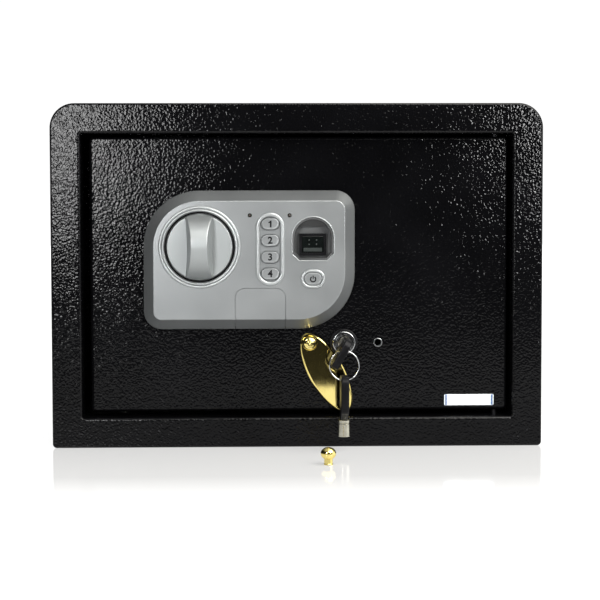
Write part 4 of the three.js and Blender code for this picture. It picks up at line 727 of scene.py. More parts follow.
class SAFE_OT_door(bpy.types.Operator):
    """Finish the door's folded pan, its inner cover, battery box and hidden mechanism"""

    bl_idname = "safe.door"
    bl_label = "Door"

    finished_nodes = (
        ("crinkle_paint", "door_panel"),
        ("inner_paint", "door_inner_cover"),
        ("black_plastic", "battery_box", "battery_lid"),
        ("cell_wrap", "battery_1", "battery_2", "battery_3", "battery_4"),
        ("zinc_plate", "inner_cover_screw_1", "inner_cover_screw_2", "inner_cover_screw_3", "inner_cover_screw_4"),
        ("circuit_board", "control_board", "main_board"),
        ("ribbon_sleeve", "panel_ribbon"),
        ("black_plastic", "power_port"),
        ("zinc_plate", "knob_shaft", "knob_crank", "bolt_carriage"),
        ("chrome_plate", "locking_bolt_bottom", "locking_bolt_top"),
        ("zinc_plate", "guide_stud_1", "guide_stud_2", "solenoid_body"),
        ("chrome_plate", "solenoid_plunger"),
        ("zinc_plate", "plunger_spring", "lock_nut", "lock_cam"),
    )

    def execute(self, context):
        for finish, *names in self.finished_nodes:
            for node in names:
                refinished(node, finish)
        return {"FINISHED"}


# Control panel

CLEAR = 0.002  # how far a cutter runs past the face that it cuts
INNER_FOOT = 0.004
PORT_BORE = 0.0043
CUP_FLOOR = 0.0016
LAMP_BORE = 0.0015
KEY_FLANGE = 0.0009
WELL_CORNER = 0.0048
DIGIT_KEYS = [f"digit_key_{i}" for i in (1, 2, 3, 4)]
LAMPS = ("lamp_green", "lamp_red")


def panel_loop(distance):
    settings = bpy.context.scene.safe_panel
    radii = (
        settings.radius_bottom_left, settings.radius_bottom_right,
        settings.radius_top_right, settings.radius_top_left,
    )
    return inset_loop(housing.area, radii, distance, bpy.context.scene.safe_stage.corner_steps + 6)


def plateau_depth():
    return face - bpy.context.scene.safe_panel.height


def panel_profile(wall, foot):
    """(inset, depth) pairs from the flat over the ridge and the bevel down to the foot."""
    settings = bpy.context.scene.safe_panel
    side = Vector((settings.bevel, settings.height - settings.foot)).normalized()
    lean = math.atan2(side.y, side.x)
    ridge, steps = settings.ridge, 6
    reach = ridge * math.tan(lean / 2)
    crown = []
    for i in range(steps + 1):
        turn = i / steps * lean
        inset = settings.bevel + reach - ridge * math.sin(turn) + wall
        crown.append((inset, plateau_depth() + wall + ridge * (1 - math.cos(turn))))
    brow, above, below = face - settings.foot + wall / 2, 0.0003, 0.0004
    return crown + [(wall + above, brow - above), (wall, brow + below), (wall, face + foot)]


def panel_form(name, wall, foot):
    return lofted(name, panel_loop, panel_profile(wall, foot))


def flap_column(distance):
    """A column through the panel with the port cover's outline, set in by a distance."""
    settings = bpy.context.scene.safe_panel
    flap, gap = at_rest["port_cover"], settings.seam / 2
    area = (
        flap.low.x - gap + distance, housing.low.z - CLEAR,
        flap.high.x + gap - distance, flap.high.z + gap - distance,
    )
    lower, upper = 0.0002, settings.flap_corner - distance
    loop = rounded_loop(area, (lower, lower, upper, upper), count=12)
    return plug_through(loop, plateau_depth() - CLEAR, face + CLEAR)


def arch_loop(distance):
    """The finger well's outline: an arch over a straight foot with cut corners."""
    gap = bpy.context.scene.safe_panel.seam
    middle = guide.centre.x
    reach = guide.half + gap - distance
    low = guide.low.z - gap + distance
    corner = WELL_CORNER - distance * (2 - math.sqrt(2))
    springing = guide.high.z - guide.half
    points = [
        (middle - reach, low + corner), (middle - reach + corner, low),
        (middle + reach - corner, low), (middle + reach, low + corner),
    ]
    return points + [
        (middle + reach * math.cos(turn), springing + reach * math.sin(turn)) for turn in turns(32, quarters=2)]


def keypad_area():
    settings = bpy.context.scene.safe_keypad
    return area_around(
        settings.centre_x, settings.rim_top - settings.rim_height / 2, settings.rim_width, settings.rim_height)


def key_area(node, grow=0.0):
    """A key cap's outline area, read from its node without its hidden flange."""
    left, bottom, right, top = at_rest[node].area
    return (left + KEY_FLANGE - grow, bottom + KEY_FLANGE - grow, right - KEY_FLANGE + grow, top - KEY_FLANGE + grow)


class SAFE_OT_panel(bpy.types.Operator):
    """Build the silver control panel with its bezel, rims, finger well and port cover"""

    bl_idname = "safe.panel"
    bl_label = "Control panel"

    # Measured back from the panel's flat: the knob cup's brim, the keypad's pocket and the port's bore
    brim, pocket, port_depth = 0.001, 0.0008, 0.0065
    cup_side = 0.002  # the wall of the knob's cup
    above, skim = 0.003, 0.0002  # how far the openings start over the flat, and end short of the cup's floor
    key_play, power_play = 1.8, 2  # how many seams the openings are wider than their keys
    # The finger well's cup and the ledge in it: walls, the cup's floor set in, and the ledge's lip
    cup_wall, floor_inset = 0.0009, 0.0022
    ledge_z, lip, lip_foot = 0.1576, 0.0018, 0.0052
    over, under, behind = 0.001, 0.0005, 0.0005  # how far the forms that shape the ledge run past the cup
    spot_places = [(side * 0.0026, rise) for side in SIDES for rise in (0.0001, 0.0031)]
    # The beads' middles, out from the openings that they go round, and the black ring of painted shade in the groove
    # inside the first one
    first_ring, second_ring, power_ring, well_ring = 0.0011, 0.0031, 0.0013, 0.0004
    ring_width = 0.0022
    groove_start, groove_width, groove_lap = 0.0016, 0.001, 0.0001

    def execute(self, context):
        settings = context.scene.safe_panel
        keypad = context.scene.safe_keypad
        inner = knob.half + settings.knob_gap
        self.housing(settings, keypad, inner)
        self.rims(keypad, inner)
        self.port_cover(settings)
        self.finger_guide(settings.seam)
        self.reader()
        return {"FINISHED"}

    def housing(self, settings, keypad, inner):
        plateau, seam = plateau_depth(), settings.seam
        profile = panel_profile(0, 0) + panel_profile(settings.wall, 0)[::-1]
        piece = lofted("panel_moulding", panel_loop, profile)
        depth = settings.flap_depth + seam
        recess = combine(flap_column(0), [panel_form("inner_form", depth, INNER_FOOT)])
        backing = combine(panel_form("backing", depth, 0), [panel_form("inner_form", 2 * depth, INNER_FOOT)])
        combine(backing, [flap_column(-settings.wall)], "INTERSECT")
        floor, brim, wall = knob.high.y + seam, plateau + self.brim, self.cup_side
        cup = lathe("knob_cup", (
            (PORT_BORE, floor), (inner, floor), (inner, brim),
            (inner + wall, brim), (inner + wall, floor + CUP_FLOOR), (PORT_BORE, floor + CUP_FLOOR),
        ), knob.centre, count=96, looped=True)
        combine(piece, [recess])
        combine(piece, [backing, cup], "UNION")
        near, far = plateau - self.above, plateau + settings.wall + CLEAR
        port = at_rest["power_port"].centre
        openings = [
            (circle_loop(knob.centre.x, knob.centre.z, inner, count=96), floor - self.skim),
            (pill_loop(keypad_area(), keypad.rim_band), plateau + self.pocket),
            (arch_loop(0), far),
            (pill_loop(key_area("power_key", self.power_play * seam), 0), far),
            (circle_loop(port.x, port.z, PORT_BORE, count=32), plateau + self.port_depth),
        ]
        openings += [(pill_loop(key_area(node, self.key_play * seam), 0), far) for node in DIGIT_KEYS]
        lamps = [at_rest[node].centre for node in LAMPS]
        openings += [(circle_loop(lamp.x, lamp.z, LAMP_BORE, count=32), far) for lamp in lamps]
        combine(piece, [plug_through(loop, near, end) for loop, end in openings])
        settle(piece, "door", "silver_plastic", "panel_housing", degrees=28)

    def rims(self, keypad, inner):
        """Raised beads round the knob, keypad, power key and finger well, in a lighter silver that paints their
        highlight, and a black ring down in the groove round the knob that paints its shade.
        """
        plateau, bead = plateau_depth(), bead_pattern()
        for name, loop, width, height in (
            ("knob_bezel_inner", self.round_knob(inner + self.first_ring), self.ring_width, 0.0036),
            ("knob_bezel_outer", self.round_knob(inner + self.second_ring), self.ring_width, 0.0024),
            ("keypad_rim", pill_loop(keypad_area(), keypad.rim_band / 2, count=16), keypad.rim_band, 0.002),
            ("power_rim", pill_loop(key_area("power_key"), -self.power_ring, count=16), self.ring_width, 0.0018),
            ("finger_rim", offset_loop(arch_loop(0), -self.well_ring), 0.0009, 0.0009),
        ):
            edges = [(i, (i + 1) % len(loop)) for i in range(len(loop))]
            points = [(x, plateau, z) for x, z in loop]
            # The beads take the lighter silver, a painted highlight
            piece = bead.run(name, "rim_silver_painted_highlight", {"Width": width, "Height": height, "Sides": 20}, points, edges)
            settle(piece, "door", "rim_silver_painted_highlight", degrees=60)
        # A black plastic ring set down in the gap round the knob: painted shade for the deep groove
        near, floor = plateau + self.groove_start, knob.high.y
        inside, outside = inner - self.groove_width, inner + self.groove_lap
        groove = lathe("knob_gap_shade_ring", (
            (inside, near), (outside, near), (outside, floor), (inside, floor),
        ), knob.centre, count=96, looped=True)
        settle(groove, "door", "black_plastic")

    def round_knob(self, radius):
        return circle_loop(knob.centre.x, knob.centre.z, radius, count=128)

    def port_cover(self, settings):
        cover = panel_form("port_cover_slide", 0, -settings.seam)
        combine(cover, [panel_form("inner_form", settings.flap_depth, INNER_FOOT)])
        combine(cover, [flap_column(settings.seam)], "INTERSECT")
        settle(cover, "port_cover", "silver_plastic", "port_cover", degrees=28)

    def finger_guide(self, gap):
        """The well's cup, and the ledge under its arch, whose darker lacquer is painted shade."""
        near, floor, deep = guide.low.y, at_rest["fingerprint_sensor"].high.y, guide.high.y
        outer = lofted("finger_cup", arch_loop, ((gap, near), (gap, deep)))
        wall = gap + self.cup_wall
        combine(outer, [lofted("cutter", arch_loop, (
            (wall - self.under, near - self.over), (wall, near), (self.floor_inset, floor)))])
        low, top, inside = self.ledge_z, guide.high.z + self.over, floor + self.behind
        section = ((near + self.lip, top), (near + self.lip_foot, low), (inside, low), (inside, top))
        trim = 0.0002
        ends = (guide.low.x + trim, guide.high.x - trim)
        ledge = loft("ledge", [[Vector((x, y, z)) for y, z in section] for x in ends])
        combine(ledge, [
            lofted("shelf", arch_loop, ((gap + trim, near + trim), (gap + trim, deep - trim)))], "INTERSECT")
        # The ledge takes the darker lacquer, painted shade under the arch
        settle(ledge, "door", "ledge_painted_shade", degrees=25)
        settle(outer, "door", "dark_plastic", "finger_guide", degrees=25)

    def reader(self):
        refinished("fingerprint_sensor", "black_plastic")
        window = at_rest["sensor_window"]
        near, left, low = window.low.y, window.low.x, window.low.z
        glass = tablet(
            "reader_glass", window.area, near, window.high.y, corner=0.0004, edge=0.0003, corner_steps=6, edge_steps=4)
        settle(glass, "door", "sensor_glass", "sensor_window")
        margin, foot, top, proud, sunk = 0.001, 0.0008, 0.0034, 0.0001, 0.0002
        strip = tablet(
            "reader_strip", (left + margin, low + foot, window.high.x - margin, low + top),
            near - proud, near + sunk, corner=0.0003, edge=0.0001, corner_steps=4, edge_steps=3)
        settle(strip, "door", "reader_strip")
        centre = window.centre
        places = [(centre.x + x, near, centre.z + z) for x, z in self.spot_places]
        sizes = {"Radius": 0.0005, "Flatness": 0.4, "Rings": 10}
        spots = dome_pattern().run("reader_spots", "reader_strip", sizes, places)
        settle(spots, "door", "reader_strip", degrees=60)


# Keypad


class SAFE_OT_keypad(bpy.types.Operator):
    """Build the key caps, their digits, the power key and the lamps"""

    bl_idname = "safe.keypad"
    bl_label = "Keypad"

    ink = 0.00004  # half the thickness of what is printed
    dish, brow = 0.00018, 0.00014  # depths of the dish and of the slope into it
    slope, flat = 0.0006, 0.0012  # where they start, in from the rounded edge
    flange_depth = 0.0007
    type_share = 0.7  # the digit 1's height as a share of the type size
    weight = 34  # the digits' outline grows by their size over this
    # The digit 1 in shares of its height
    one = (
        (-0.02, -0.5), (0.21, -0.5), (0.21, 0.5), (0.05, 0.5), (-0.03, 0.4), (-0.11, 0.34),
        (-0.25, 0.29), (-0.25, 0.09), (-0.12, 0.14), (-0.02, 0.2),
    )

    def execute(self, context):
        settings = context.scene.safe_keypad
        for number, node in enumerate(DIGIT_KEYS, 1):
            x, top, z = self.cap(node, settings)
            place = Vector((x, top, z))
            if number == 1:
                tall = settings.digit_size * self.type_share
                loop = [(place.x + x * tall, place.z + z * tall) for x, z in self.one]
                digit = self.printed("digit_1", loop, place.y)
            else:
                digit = self.lettering(f"digit_{number}", str(number), settings.digit_size, place)
            settle(digit, node, "ink")
        self.power_mark(*self.cap("power_key", settings))
        for node in LAMPS:
            low, radius, deep = at_rest[node].low.y, settings.lamp_radius, at_rest[node].high.y
            dome = [(radius * math.sin(turn), low + radius * (1 - math.cos(turn))) for turn in turns(8)]
            lens = lathe(f"{node}_lens", dome + [(radius, deep), (0, deep)], at_rest[node].centre, count=32)
            settle(lens, "door", "lamp_lens", node)
        return {"FINISHED"}

    def cap(self, node, settings):
        """A pill-shaped cap with a raised edge and a slightly dished top. Gives its middle on the dish."""
        low, high = at_rest[node].low.y, at_rest[node].high.y
        area, edge, dish = key_area(node), settings.key_edge, at_rest[node].low.y + self.dish
        shelf = high - self.flange_depth
        profile = [(edge + self.flat, dish), (edge + self.slope, low + self.brow), *fillet(edge, low)]
        profile += [(0, shelf), (-KEY_FLANGE, shelf), (-KEY_FLANGE, high)]
        piece = lofted(f"{node}_cap", lambda inset: pill_loop(area, inset, count=12), profile)
        settle(piece, node, "silver_plastic", node, degrees=40)
        return (area[0] + area[2]) / 2, dish, (area[1] + area[3]) / 2

    def printed(self, name, loop, y):
        """A thin flat form half sunk in a key."""
        return loft(name, [ring_at(loop, y - self.ink), ring_at(loop, y + self.ink)])

    def lettering(self, name, words, size, place):
        """Words as a mesh that stands on a face which looks to the front."""
        curve = bpy.data.curves.new(name, "FONT")
        curve.body = words
        curve.size = size
        curve.extrude = self.ink
        curve.offset = size / self.weight
        curve.align_x = curve.align_y = "CENTER"
        text = new_piece(name, curve)
        bpy.context.view_layer.update()
        mesh = bpy.data.meshes.new_from_object(text.evaluated_get(bpy.context.evaluated_depsgraph_get()))
        bpy.data.objects.remove(text)
        mesh.transform(Matrix.Translation(place) @ Matrix.Rotation(QUARTER, 4, "X"))
        return new_piece(name, mesh)

    def power_mark(self, x, top, z):
        """The broken ring and its stroke on the power key."""
        drop, outer, inner, gap, steps = 0.0002, 0.0023, 0.0014, math.radians(32), 40
        rise, width, height = 0.0014, 0.0008, 0.0024
        z -= drop
        arc = [QUARTER + gap + i / steps * (4 * QUARTER - 2 * gap) for i in range(steps + 1)]
        loop = [
            (x + radius * math.cos(turn), z + radius * math.sin(turn))
            for radius, path in ((outer, arc), (inner, arc[::-1])) for turn in path]
        settle(self.printed("power_mark_ring", loop, top), "power_key", "ink")
        bar = pill_loop(area_around(x, z + rise, width, height), 0)
        settle(self.printed("power_mark_stroke", bar, top), "power_key", "ink")


# Knob


class SAFE_OT_knob(bpy.types.Operator):
    """Build the turning knob: a disc with an arched grip across it"""

    bl_idname = "safe.knob"
    bl_label = "Knob"

    disc_depth = 0.0079
    reach = 0.0226  # half the grip's length
    shoulder = 0.0006  # its height at its ends
    overlap = 0.0004  # how far its foot may pass the disc's rim
    root = 0.0035  # how deep it is set in the disc
    steepness = 1.8  # power of the curve of its sides
    edge_share = 0.6  # the most of its rise that the crest's rounding takes

    def execute(self, context):
        settings = context.scene.safe_knob
        disc_face = knob.high.y - self.disc_depth
        profile = [(0, disc_face), *rim(knob.half, settings.disc_edge, disc_face, steps=5)]
        disc = lathe("knob_disc", profile + [(knob.half, knob.high.y), (0, knob.high.y)], knob.centre, count=128)
        combine(disc, [self.grip(settings, disc_face)], "UNION")
        settle(disc, "knob_set", "knob_silver", "knob", degrees=26)
        return {"FINISHED"}

    def grip(self, settings, disc_face):
        """Sections across the grip, from its lower end to its upper one."""
        height = disc_face - knob.low.y
        arch = (self.reach ** 2 + (height - self.shoulder) ** 2) / (2 * (height - self.shoulder))
        rings = []
        for turn in turns(44, quarters=2):
            z = -self.reach * math.cos(turn)
            rise = math.sqrt(max(arch ** 2 - z ** 2, 0)) - (arch - height)
            points = self.section(settings, z, rise, height)
            points += [(-x, y) for x, y in reversed(points)]
            rings.append([Vector((knob.centre.x + x, disc_face + y, knob.centre.z + z)) for x, y in points])
        return loft("grip", rings)

    def section(self, settings, z, rise, height):
        """The right half of one section, from its foot to its crest."""
        foot = settings.waist + (settings.spread - settings.waist) * (z / self.reach) ** 2
        foot = min(foot, math.sqrt(max(knob.half ** 2 - z ** 2, 0)) + self.overlap)
        lean = settings.draft * rise / height
        edge = min(settings.crest_edge, rise * self.edge_share)
        points = [(foot, self.root), (foot, 0)]
        for up in (i / 6 for i in range(1, 6)):
            points.append((foot - lean * (1 - (1 - up) ** self.steepness), -rise * up * (1 - edge / rise)))
        for turn in turns(6):
            points.append((foot - lean - edge * (1 - math.cos(turn)), -(rise - edge) - edge * math.sin(turn)))
        return points


# Emergency lock, its cover and its keys


class SAFE_OT_lock(bpy.types.Operator):
    """Build the emergency lock's face, its bezel and its plug"""

    bl_idname = "safe.lock"
    bl_label = "Emergency lock"

    bore = 0.00465
    barrel = 0.0074
    # (radius, depth) round the turned groove in the lock's face
    groove = ((0.0056, 0), (0.0058, 0.00025), (0.0061, 0.00025), (0.0063, 0))
    nose, nose_length = 0.003, 0.0065
    core = 0.00435
    bezel_gap = 0.0003
    # Roundings of the bore's mouth, the face, the bezel inside and outside, and the plug's nose
    mouth, face_edge, inner_edge, outer_edge, nose_edge = 0.0002, 0.0009, 0.0004, 0.001, 0.0003

    def execute(self, context):
        top, deep, radius, bore = lock.low.y, lock.high.y, lock.half, self.bore
        profile = [(bore, top + self.mouth), (bore + self.mouth, top)] + [(wide, top + y) for wide, y in self.groove]
        profile += rim(radius, self.face_edge, top, steps=6)
        profile += [(radius, face), (self.barrel, face), (self.barrel, deep), (bore, deep)]
        housing_piece = lathe("lock_face", profile, lock.centre, count=96, looped=True)
        settle(housing_piece, "door", "lock_chrome", "lock_housing", degrees=30)
        bezel = at_rest["lock_bezel"]
        outer, inner, top = bezel.half, radius + self.bezel_gap, bezel.low.y
        profile = rim(inner, self.inner_edge, top, steps=4, inwards=True)
        profile += rim(outer, self.outer_edge, top, steps=6) + [(outer, face), (inner, face)]
        surround = lathe("lock_surround", profile, lock.centre, count=96, looped=True)
        settle(surround, "door", "black_plastic", "lock_bezel")
        plug = at_rest["lock_plug"]
        top, deep = plug.low.y, plug.high.y
        step = deep - self.nose_length
        profile = [(0, top)] + rim(self.nose, self.nose_edge, top, steps=3)
        profile += [(self.nose, step), (self.core, step), (self.core, deep), (0, deep)]
        settle(lathe("lock_core_plug", profile, lock.centre, count=48), "lock_core", "chrome_plate", "lock_plug")
        return {"FINISHED"}


def lens_loop(distance):
    """The brass cover's pointed oval, upright."""
    settings = bpy.context.scene.safe_lock
    power = 2 / settings.roundness
    wide, long = settings.plate_width - distance, settings.plate_length - distance
    points = []
    for turn in turns(144, 4)[:-1]:
        across, along = math.cos(turn), math.sin(turn)
        points.append((
            wide * math.copysign(abs(across) ** power, across), long * math.copysign(abs(along) ** power, along)))
    return points


def ball_profile(ball, tall, waist, steps):
    """A ball-headed screw's head, from its crown to the waist at depth zero."""
    last = math.pi - math.asin(waist / ball)
    rise = tall / (1 - math.cos(last))
    angles = [i / steps * last for i in range(steps + 1)]
    return [(ball * math.sin(turn), rise * (math.cos(last) - math.cos(turn))) for turn in angles]


class SAFE_OT_cover(bpy.types.Operator):
    """Build the brass cover that hangs from its screw, and the loose screw before the safe"""

    bl_idname = "safe.cover"
    bl_label = "Brass cover"

    # (inset, depth) from the cover's face over its soft edge to the outline
    soft_edge = ((0.0015, 0), (0.0012, 0), (0.0009, 0.00005), (0.0003, 0.0005), (0, 0.0008))
    hole, past = 0.0035, 0.001  # the holes' radius, and how far their cutters run past the plate
    waist = 0.0032
    shank = 0.0022
    sink = 0.0003  # how far the fixed screw's head runs over the plate's face
    rings, ring_depth = 2.5, 0.00015  # turned into the fixed screw's head
    loose_foot, neck = 0.0041, 0.0001  # the height under the loose screw's head, and of the step in to its stem
    # (radius, height) up the loose screw's stem
    loose_stem = ((0.0029, -0.0009), (0.0031, -0.0006), (0.0031, 0), (0, 0))

    def execute(self, context):
        self.plate(context.scene.safe_lock)
        self.fixed_screw()
        self.loose_screw()
        self.threaded_insert()
        return {"FINISHED"}

    def plate(self, settings):
        pivot = at_rest["cover_screw_fixed"].centre
        top, rear = at_rest["cover_plate"].low.y, at_rest["cover_plate"].high.y
        plate = lofted("brass_cover", lens_loop, [(inset, top + y) for inset, y in self.soft_edge] + [(0, rear)])
        half = settings.hole_spacing / 2
        combine(plate, [
            plug_through(circle_loop(0, side * half, self.hole, count=48), top - self.past, rear + self.past)
            for side in SIDES])
        hang = Matrix.Translation((pivot.x, 0, pivot.z))
        hang = hang @ Matrix.Rotation(-(QUARTER - settings.drop), 4, "Y") @ Matrix.Translation((0, 0, -half))
        lean = Matrix.Translation((0, top, pivot.z)) @ Matrix.Rotation(-settings.lean, 4, "X")
        plate.data.transform(lean @ Matrix.Translation((0, -top, -pivot.z)) @ hang)
        settle(plate, "cover", "polished_brass", "cover_plate", degrees=18)

    def fixed_screw(self):
        screw = at_rest["cover_screw_fixed"]
        ball, deep = screw.half, screw.high.y
        seat = at_rest["cover_plate"].low.y - self.sink
        head = []
        for radius, y in ball_profile(ball, seat - screw.low.y, self.waist, steps=80):
            ring = self.ring_depth * (1 - math.cos(radius / ball * self.rings * 4 * QUARTER))
            head.append((radius, seat + y + ring))
        shank = [(self.waist, face), (self.shank, face), (self.shank, deep), (0, deep)]
        piece = lathe("cover_screw", head + shank, screw.centre, count=64)
        settle(piece, "door", "polished_brass", "cover_screw_fixed", degrees=30)

    def loose_screw(self):
        loose, foot = at_rest["cover_screw_loose"], self.loose_foot
        ball = ball_profile(loose.half, loose.high.z - foot, self.waist, steps=20)
        head = [(radius, y - foot) for radius, y in ball]
        profile = head + [(self.loose_stem[0][0], -foot + self.neck), *self.loose_stem]
        screw = lathe("spare_cover_screw", profile, Vector(), count=64)
        stand = Matrix.Translation((loose.centre.x, loose.centre.y, 0)) @ Matrix.Rotation(-QUARTER, 4, "X")
        screw.data.transform(stand)
        settle(screw, "root", "polished_brass", "cover_screw_loose", degrees=30)

    def threaded_insert(self):
        insert = at_rest["screw_insert"]
        near, far, thread, mouth, chamfer = insert.low.y, insert.high.y, 0.0026, 0.00275, 0.0003
        profile = rim(insert.half, chamfer, near, steps=4) + [(insert.half, far), (thread, far)]
        profile += [(thread, near + chamfer), (mouth, near)]
        piece = lathe("threaded_insert", profile, insert.centre, count=48, looped=True)
        settle(piece, "door", "zinc_plate", "screw_insert")


class SAFE_OT_keys(bpy.types.Operator):
    """Build the two tubular keys and the ring that joins them"""

    bl_idname = "safe.keys"
    bl_label = "Keys"

    # The bow: its length, where its two sides are, half its thickness, and its radii
    bow_length = 0.0315
    near, far = 0.0045, -0.0175
    half = 0.0028
    corner, edge, steps = 0.005, 0.0011, 10
    shoulder = -0.01
    hole, hole_along, hole_across, through = 0.003, 0.0052, -0.0037, 0.005
    # The barrel: its radius, its bore's radius and depth, and (step in, place) of the groove round it
    tube, bore, bore_depth = 0.00435, 0.0033, 0.01
    end, start = 0.0119, 0.00005
    groove = ((0, 0.0021), (0.0003, 0.0024), (0.0003, 0.0029), (0, 0.0032))

    def execute(self, context):
        settings = context.scene.safe_lock
        first = Matrix.Translation((lock.centre.x, at_rest["key_1_bow"].high.y, lock.centre.z))
        self.key("key_1", first @ Matrix.Rotation(settings.bow_turn, 4, "Y"))
        barrel = at_rest["key_2_barrel"].centre
        second = Matrix.Translation((barrel.x, barrel.y, at_rest["key_2_bow"].low.z))
        self.key("key_2", second @ Matrix.Rotation(-QUARTER, 4, "X"))
        sizes = {"Radius": settings.ring_radius, "Wire": settings.ring_wire, "Steps": 128}
        ring = wire_ring_pattern().run("key_ring_wire", "chrome_plate", sizes)
        ring.data.transform(Matrix.Translation(at_rest["key_ring"].centre))
        settle(ring, "ring", "chrome_plate", "key_ring", degrees=60)
        return {"FINISHED"}

    def bow_loop(self, distance):
        """The bow's outline in the key's own plane, as (along, wide) pairs, set in by a distance."""
        radius, tail = self.corner, -self.bow_length
        points = [(0, -self.near), (0, self.near)]
        for along, wide, start in (
            (tail + radius, self.near - radius, 1), (tail + radius, self.far + radius, 2),
            (self.shoulder, self.far + radius, 3),
        ):
            for i in range(self.steps + 1):
                turn = (start + i / self.steps) * QUARTER
                points.append((along + radius * math.cos(turn), wide + radius * math.sin(turn)))
        return offset_loop(points, distance)

    def key(self, name, place):
        edges = fillet(self.edge, 0, steps=6)
        sections = [(inset, -self.half + rise) for inset, rise in edges]
        sections += [(inset, self.half - rise) for inset, rise in reversed(edges)]
        bow = loft(f"{name}_grip", [
            [Vector((across, along, wide)) for along, wide in self.bow_loop(inset)] for inset, across in sections])
        hole = plug_through(circle_loop(0, 0, self.hole, count=48), -self.through, self.through)
        hole.data.transform(
            Matrix.Translation((0, -self.bow_length + self.hole_along, self.hole_across))
            @ Matrix.Rotation(QUARTER, 4, "Z"))
        combine(bow, [hole])
        bow.data.transform(place)
        settle(bow, name, "black_plastic", f"{name}_bow", degrees=30)
        tube, bore, end, start = self.tube, self.bore, self.end, self.start
        bevel, lip, chamfer = 0.0004, 0.0003, 0.0002
        profile = [(0, start), (tube - bevel, start), (tube, start + lip)]
        profile += [(tube - step_in, y) for step_in, y in self.groove]
        profile += [(tube - inset, end - y) for inset, y in reversed(fillet(lip, 0, steps=4))]
        floor = end - self.bore_depth
        profile += [(bore + chamfer, end), (bore, end - chamfer), (bore, floor), (0, floor)]
        barrel = lathe(f"{name}_tube", profile, Vector(), count=64)
        barrel.data.transform(place)
        settle(barrel, name, "key_nickel", f"{name}_barrel", degrees=30)


class SAFE_OT_label(bpy.types.Operator):
    """Build the bare white label with its blue toothed ends"""

    bl_idname = "safe.label"
    bl_label = "Label"

    teeth = 7
    tooth_length, tooth_inset, tooth_thickness = 0.0011, 0.0013, 0.00008
    ends = 0.6  # the bare height above and below the teeth, as a share of the pitch
    spacing = 0.62  # a tooth's own height as a share of the pitch, before it is stretched to fill it

    def execute(self, context):
        label = at_rest["rating_label"]
        edge = 0.0001
        near = label.low.y + edge
        sticker = tablet(
            "bare_label", label.area, near, label.high.y, corner=0.0008, edge=edge, corner_steps=8, edge_steps=3)
        settle(sticker, "door", "label_paper", "rating_label")
        pattern = teeth_pattern()
        pitch = (label.high.z - label.low.z) / (self.teeth + self.ends)
        stretch = Matrix.Diagonal((1, 1, 1 / self.spacing, 1))
        for name, x, side in (("label_end_left", label.low.x, 1), ("label_end_right", label.high.x, -1)):
            teeth = pattern.run(name, "label_blue", {
                "Count": self.teeth, "Pitch": pitch * self.spacing,
                "Length": side * self.tooth_length, "Thickness": self.tooth_thickness})
            lowest = label.low.z + (self.ends + 1) / 2 * pitch
            place = Matrix.Translation((x + side * self.tooth_inset, near, lowest))
            teeth.data.transform(place @ stretch)
            settle(teeth, "door", "label_blue")
        return {"FINISHED"}


# Stage


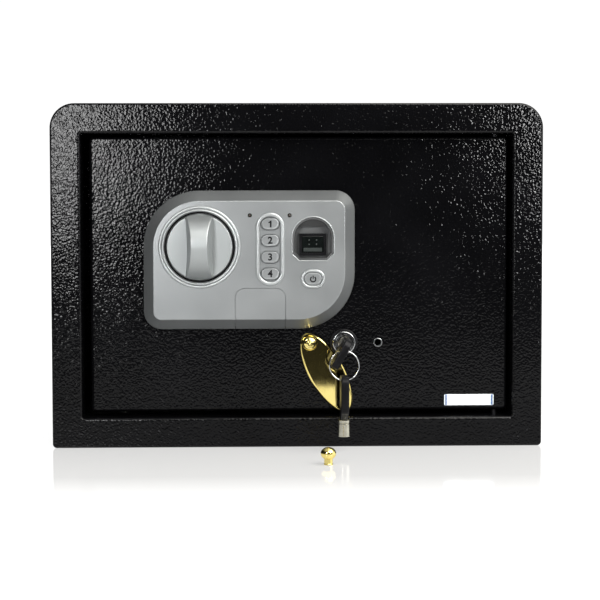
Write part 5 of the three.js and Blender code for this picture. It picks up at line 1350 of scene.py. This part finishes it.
class SAFE_OT_stage(bpy.types.Operator):
    """Set up the floor, the soft studio light and the camera"""

    bl_idname = "safe.stage"
    bl_label = "Stage"

    # Each light's name, place, target, size, power and colour
    lights = (
        ("Left softbox", (-0.235, -0.62, 0.25), (-0.14, -0.12, 0.18), (0.09, 0.2), 1.5, (1, 1, 1)),
        ("Right softbox", (0.335, -0.62, 0.29), (0.18, -0.12, 0.2), (0.04, 0.17), 1.3, (1, 1, 1)),
        ("Ceiling", (0.35, 0.18, 1.3), (0.1, 0, 0), (1.4, 0.6), 6, (1, 0.92, 0.76)),
        ("Overhead", (0.55, -0.75, 0.95), (0, -0.12, 0.12), (1.4, 0.9), 24, (1, 0.98, 0.93)),
    )
    # How strongly the backdrop glows along each direction: from, to, least and most
    glow = (("Y", 0.66, 0.86, 0.02, 1.05), ("Z", 0.6, 0.95, 0, 0.7), ("X", 0.6, 0.95, 0, 1.3))

    def execute(self, context):
        settings = context.scene.safe_stage
        self.floor(settings)
        self.world(context)
        for light in self.lights:
            self.soft_light(*light)
        self.camera(context, settings)
        context.scene.view_settings.view_transform = "Standard"
        return {"FINISHED"}

    def floor(self, settings):
        """A glossy floor that is pale round the safe and dark towards the viewer. It glows evenly where it is pale,
        and a painted glow that is stronger farther in front of the safe leaves the floor next to the safe greyer.
        """
        left, near, right, far = -4, -4, 4, 6
        loop = ((left, near), (right, near), (right, far), (left, far))
        floor = loft("floor", [[Vector((x, y, z)) for x, y in loop] for z in (-0.02, 0)])
        finish = Finish("Studio floor", 0.08, {"Specular IOR Level": 0.4, "Emission Color": (1, 1, 1, 1)})
        depth = finish.add("SeparateXYZ", {"Vector": finish.place})["Y"]
        fade = finish.ramp(depth, -0.625, -0.585, 0, 1)
        finish.colour(fade, (0.02, 0.02, 0.02), tuple(settings.floor_colour))
        # Painted glow: the floor glows more strongly farther in front of the safe, so it stays greyer next to the safe
        painted_glow_past_safe = finish.ramp(depth, -0.39, -0.25, 0.44, 0)
        clear = finish.ramp(fade, 0, 1, -0.44, 0.46)
        finish.feed("Emission Strength", finish.sum(clear, painted_glow_past_safe, 1))
        floor.data.materials.append(finish.material)

    def world(self, context):
        """A pale backdrop behind the safe that darkens towards the viewer's side of the room."""
        world = bpy.data.worlds.new("Studio")
        world.use_nodes = True
        context.scene.world = world
        tree = world.node_tree
        place = add_node(tree, "ShaderNodeTexCoord", {})["Generated"]
        axes = add_node(tree, "ShaderNodeSeparateXYZ", {"Vector": place})
        total = None
        for axis, low, high, least, most in self.glow:
            part = add_node(tree, "ShaderNodeMapRange", {
                "Value": axes[axis], "From Min": low, "From Max": high, "To Min": least, "To Max": most})["Result"]
            total = add_node(tree, "ShaderNodeMath", {0: total, 1: part})["Value"] if total else part
        background = tree.nodes["Background"].inputs
        tree.links.new(total, background["Strength"])
        background["Color"].default_value = (1, 1, 1, 1)

    def soft_light(self, name, place, target, size, power, colour):
        data = bpy.data.lights.new(name, "AREA")
        data.shape = "RECTANGLE"
        data.size, data.size_y = size
        data.energy = power
        data.color = colour
        light = new_piece(name, data)
        light.location = place
        light.rotation_euler = (Vector(target) - light.location).to_track_quat("-Z", "Y").to_euler()

    def camera(self, context, settings):
        data = bpy.data.cameras.new("Camera")
        data.lens = settings.lens
        data.sensor_width = 36
        data.clip_start = 0.01
        camera = new_piece("Camera", data)
        camera.location = (settings.camera_shift, -settings.camera_distance, settings.camera_height)
        camera.rotation_euler = (QUARTER - settings.pitch, settings.roll, settings.yaw)
        context.scene.camera = camera


class SAFE_PT_sidebar(bpy.types.Panel):
    """The safe's pieces and its stage"""

    bl_label = "Home Safe"
    bl_idname = "SAFE_PT_sidebar"
    bl_space_type = "VIEW_3D"
    bl_region_type = "UI"
    bl_category = "Home Safe"

    def draw(self, context):
        for name in settings_groups:
            group = getattr(context.scene, name)
            box = self.layout.box()
            for label in group.bl_rna.properties.keys():
                if label not in ("name", "rna_type"):
                    box.prop(group, label)
        for operator in operators:
            self.layout.operator(operator.bl_idname)


settings_groups = {
    "safe_case": SafeCaseSettings,
    "safe_panel": SafePanelSettings,
    "safe_keypad": SafeKeypadSettings,
    "safe_knob": SafeKnobSettings,
    "safe_lock": SafeLockSettings,
    "safe_stage": SafeStageSettings,
}
operators = (
    SAFE_OT_case, SAFE_OT_door, SAFE_OT_panel, SAFE_OT_keypad, SAFE_OT_knob,
    SAFE_OT_lock, SAFE_OT_cover, SAFE_OT_keys, SAFE_OT_label, SAFE_OT_stage,
)


def register():
    for name, group in settings_groups.items():
        bpy.utils.register_class(group)
        setattr(bpy.types.Scene, name, PointerProperty(type=group))
    for operator in operators:
        bpy.utils.register_class(operator)
    bpy.utils.register_class(SAFE_PT_sidebar)


def unregister():
    bpy.utils.unregister_class(SAFE_PT_sidebar)
    for operator in reversed(operators):
        bpy.utils.unregister_class(operator)
    for name, group in settings_groups.items():
        delattr(bpy.types.Scene, name)
        bpy.utils.unregister_class(group)


def main():
    register()
    finishes.update(make_finishes())
    bpy.ops.safe.case()
    bpy.ops.safe.door()
    bpy.ops.safe.panel()
    bpy.ops.safe.keypad()
    bpy.ops.safe.knob()
    bpy.ops.safe.lock()
    bpy.ops.safe.cover()
    bpy.ops.safe.keys()
    bpy.ops.safe.label()
    bpy.ops.safe.stage()


if __name__ == "__main__":
    main()
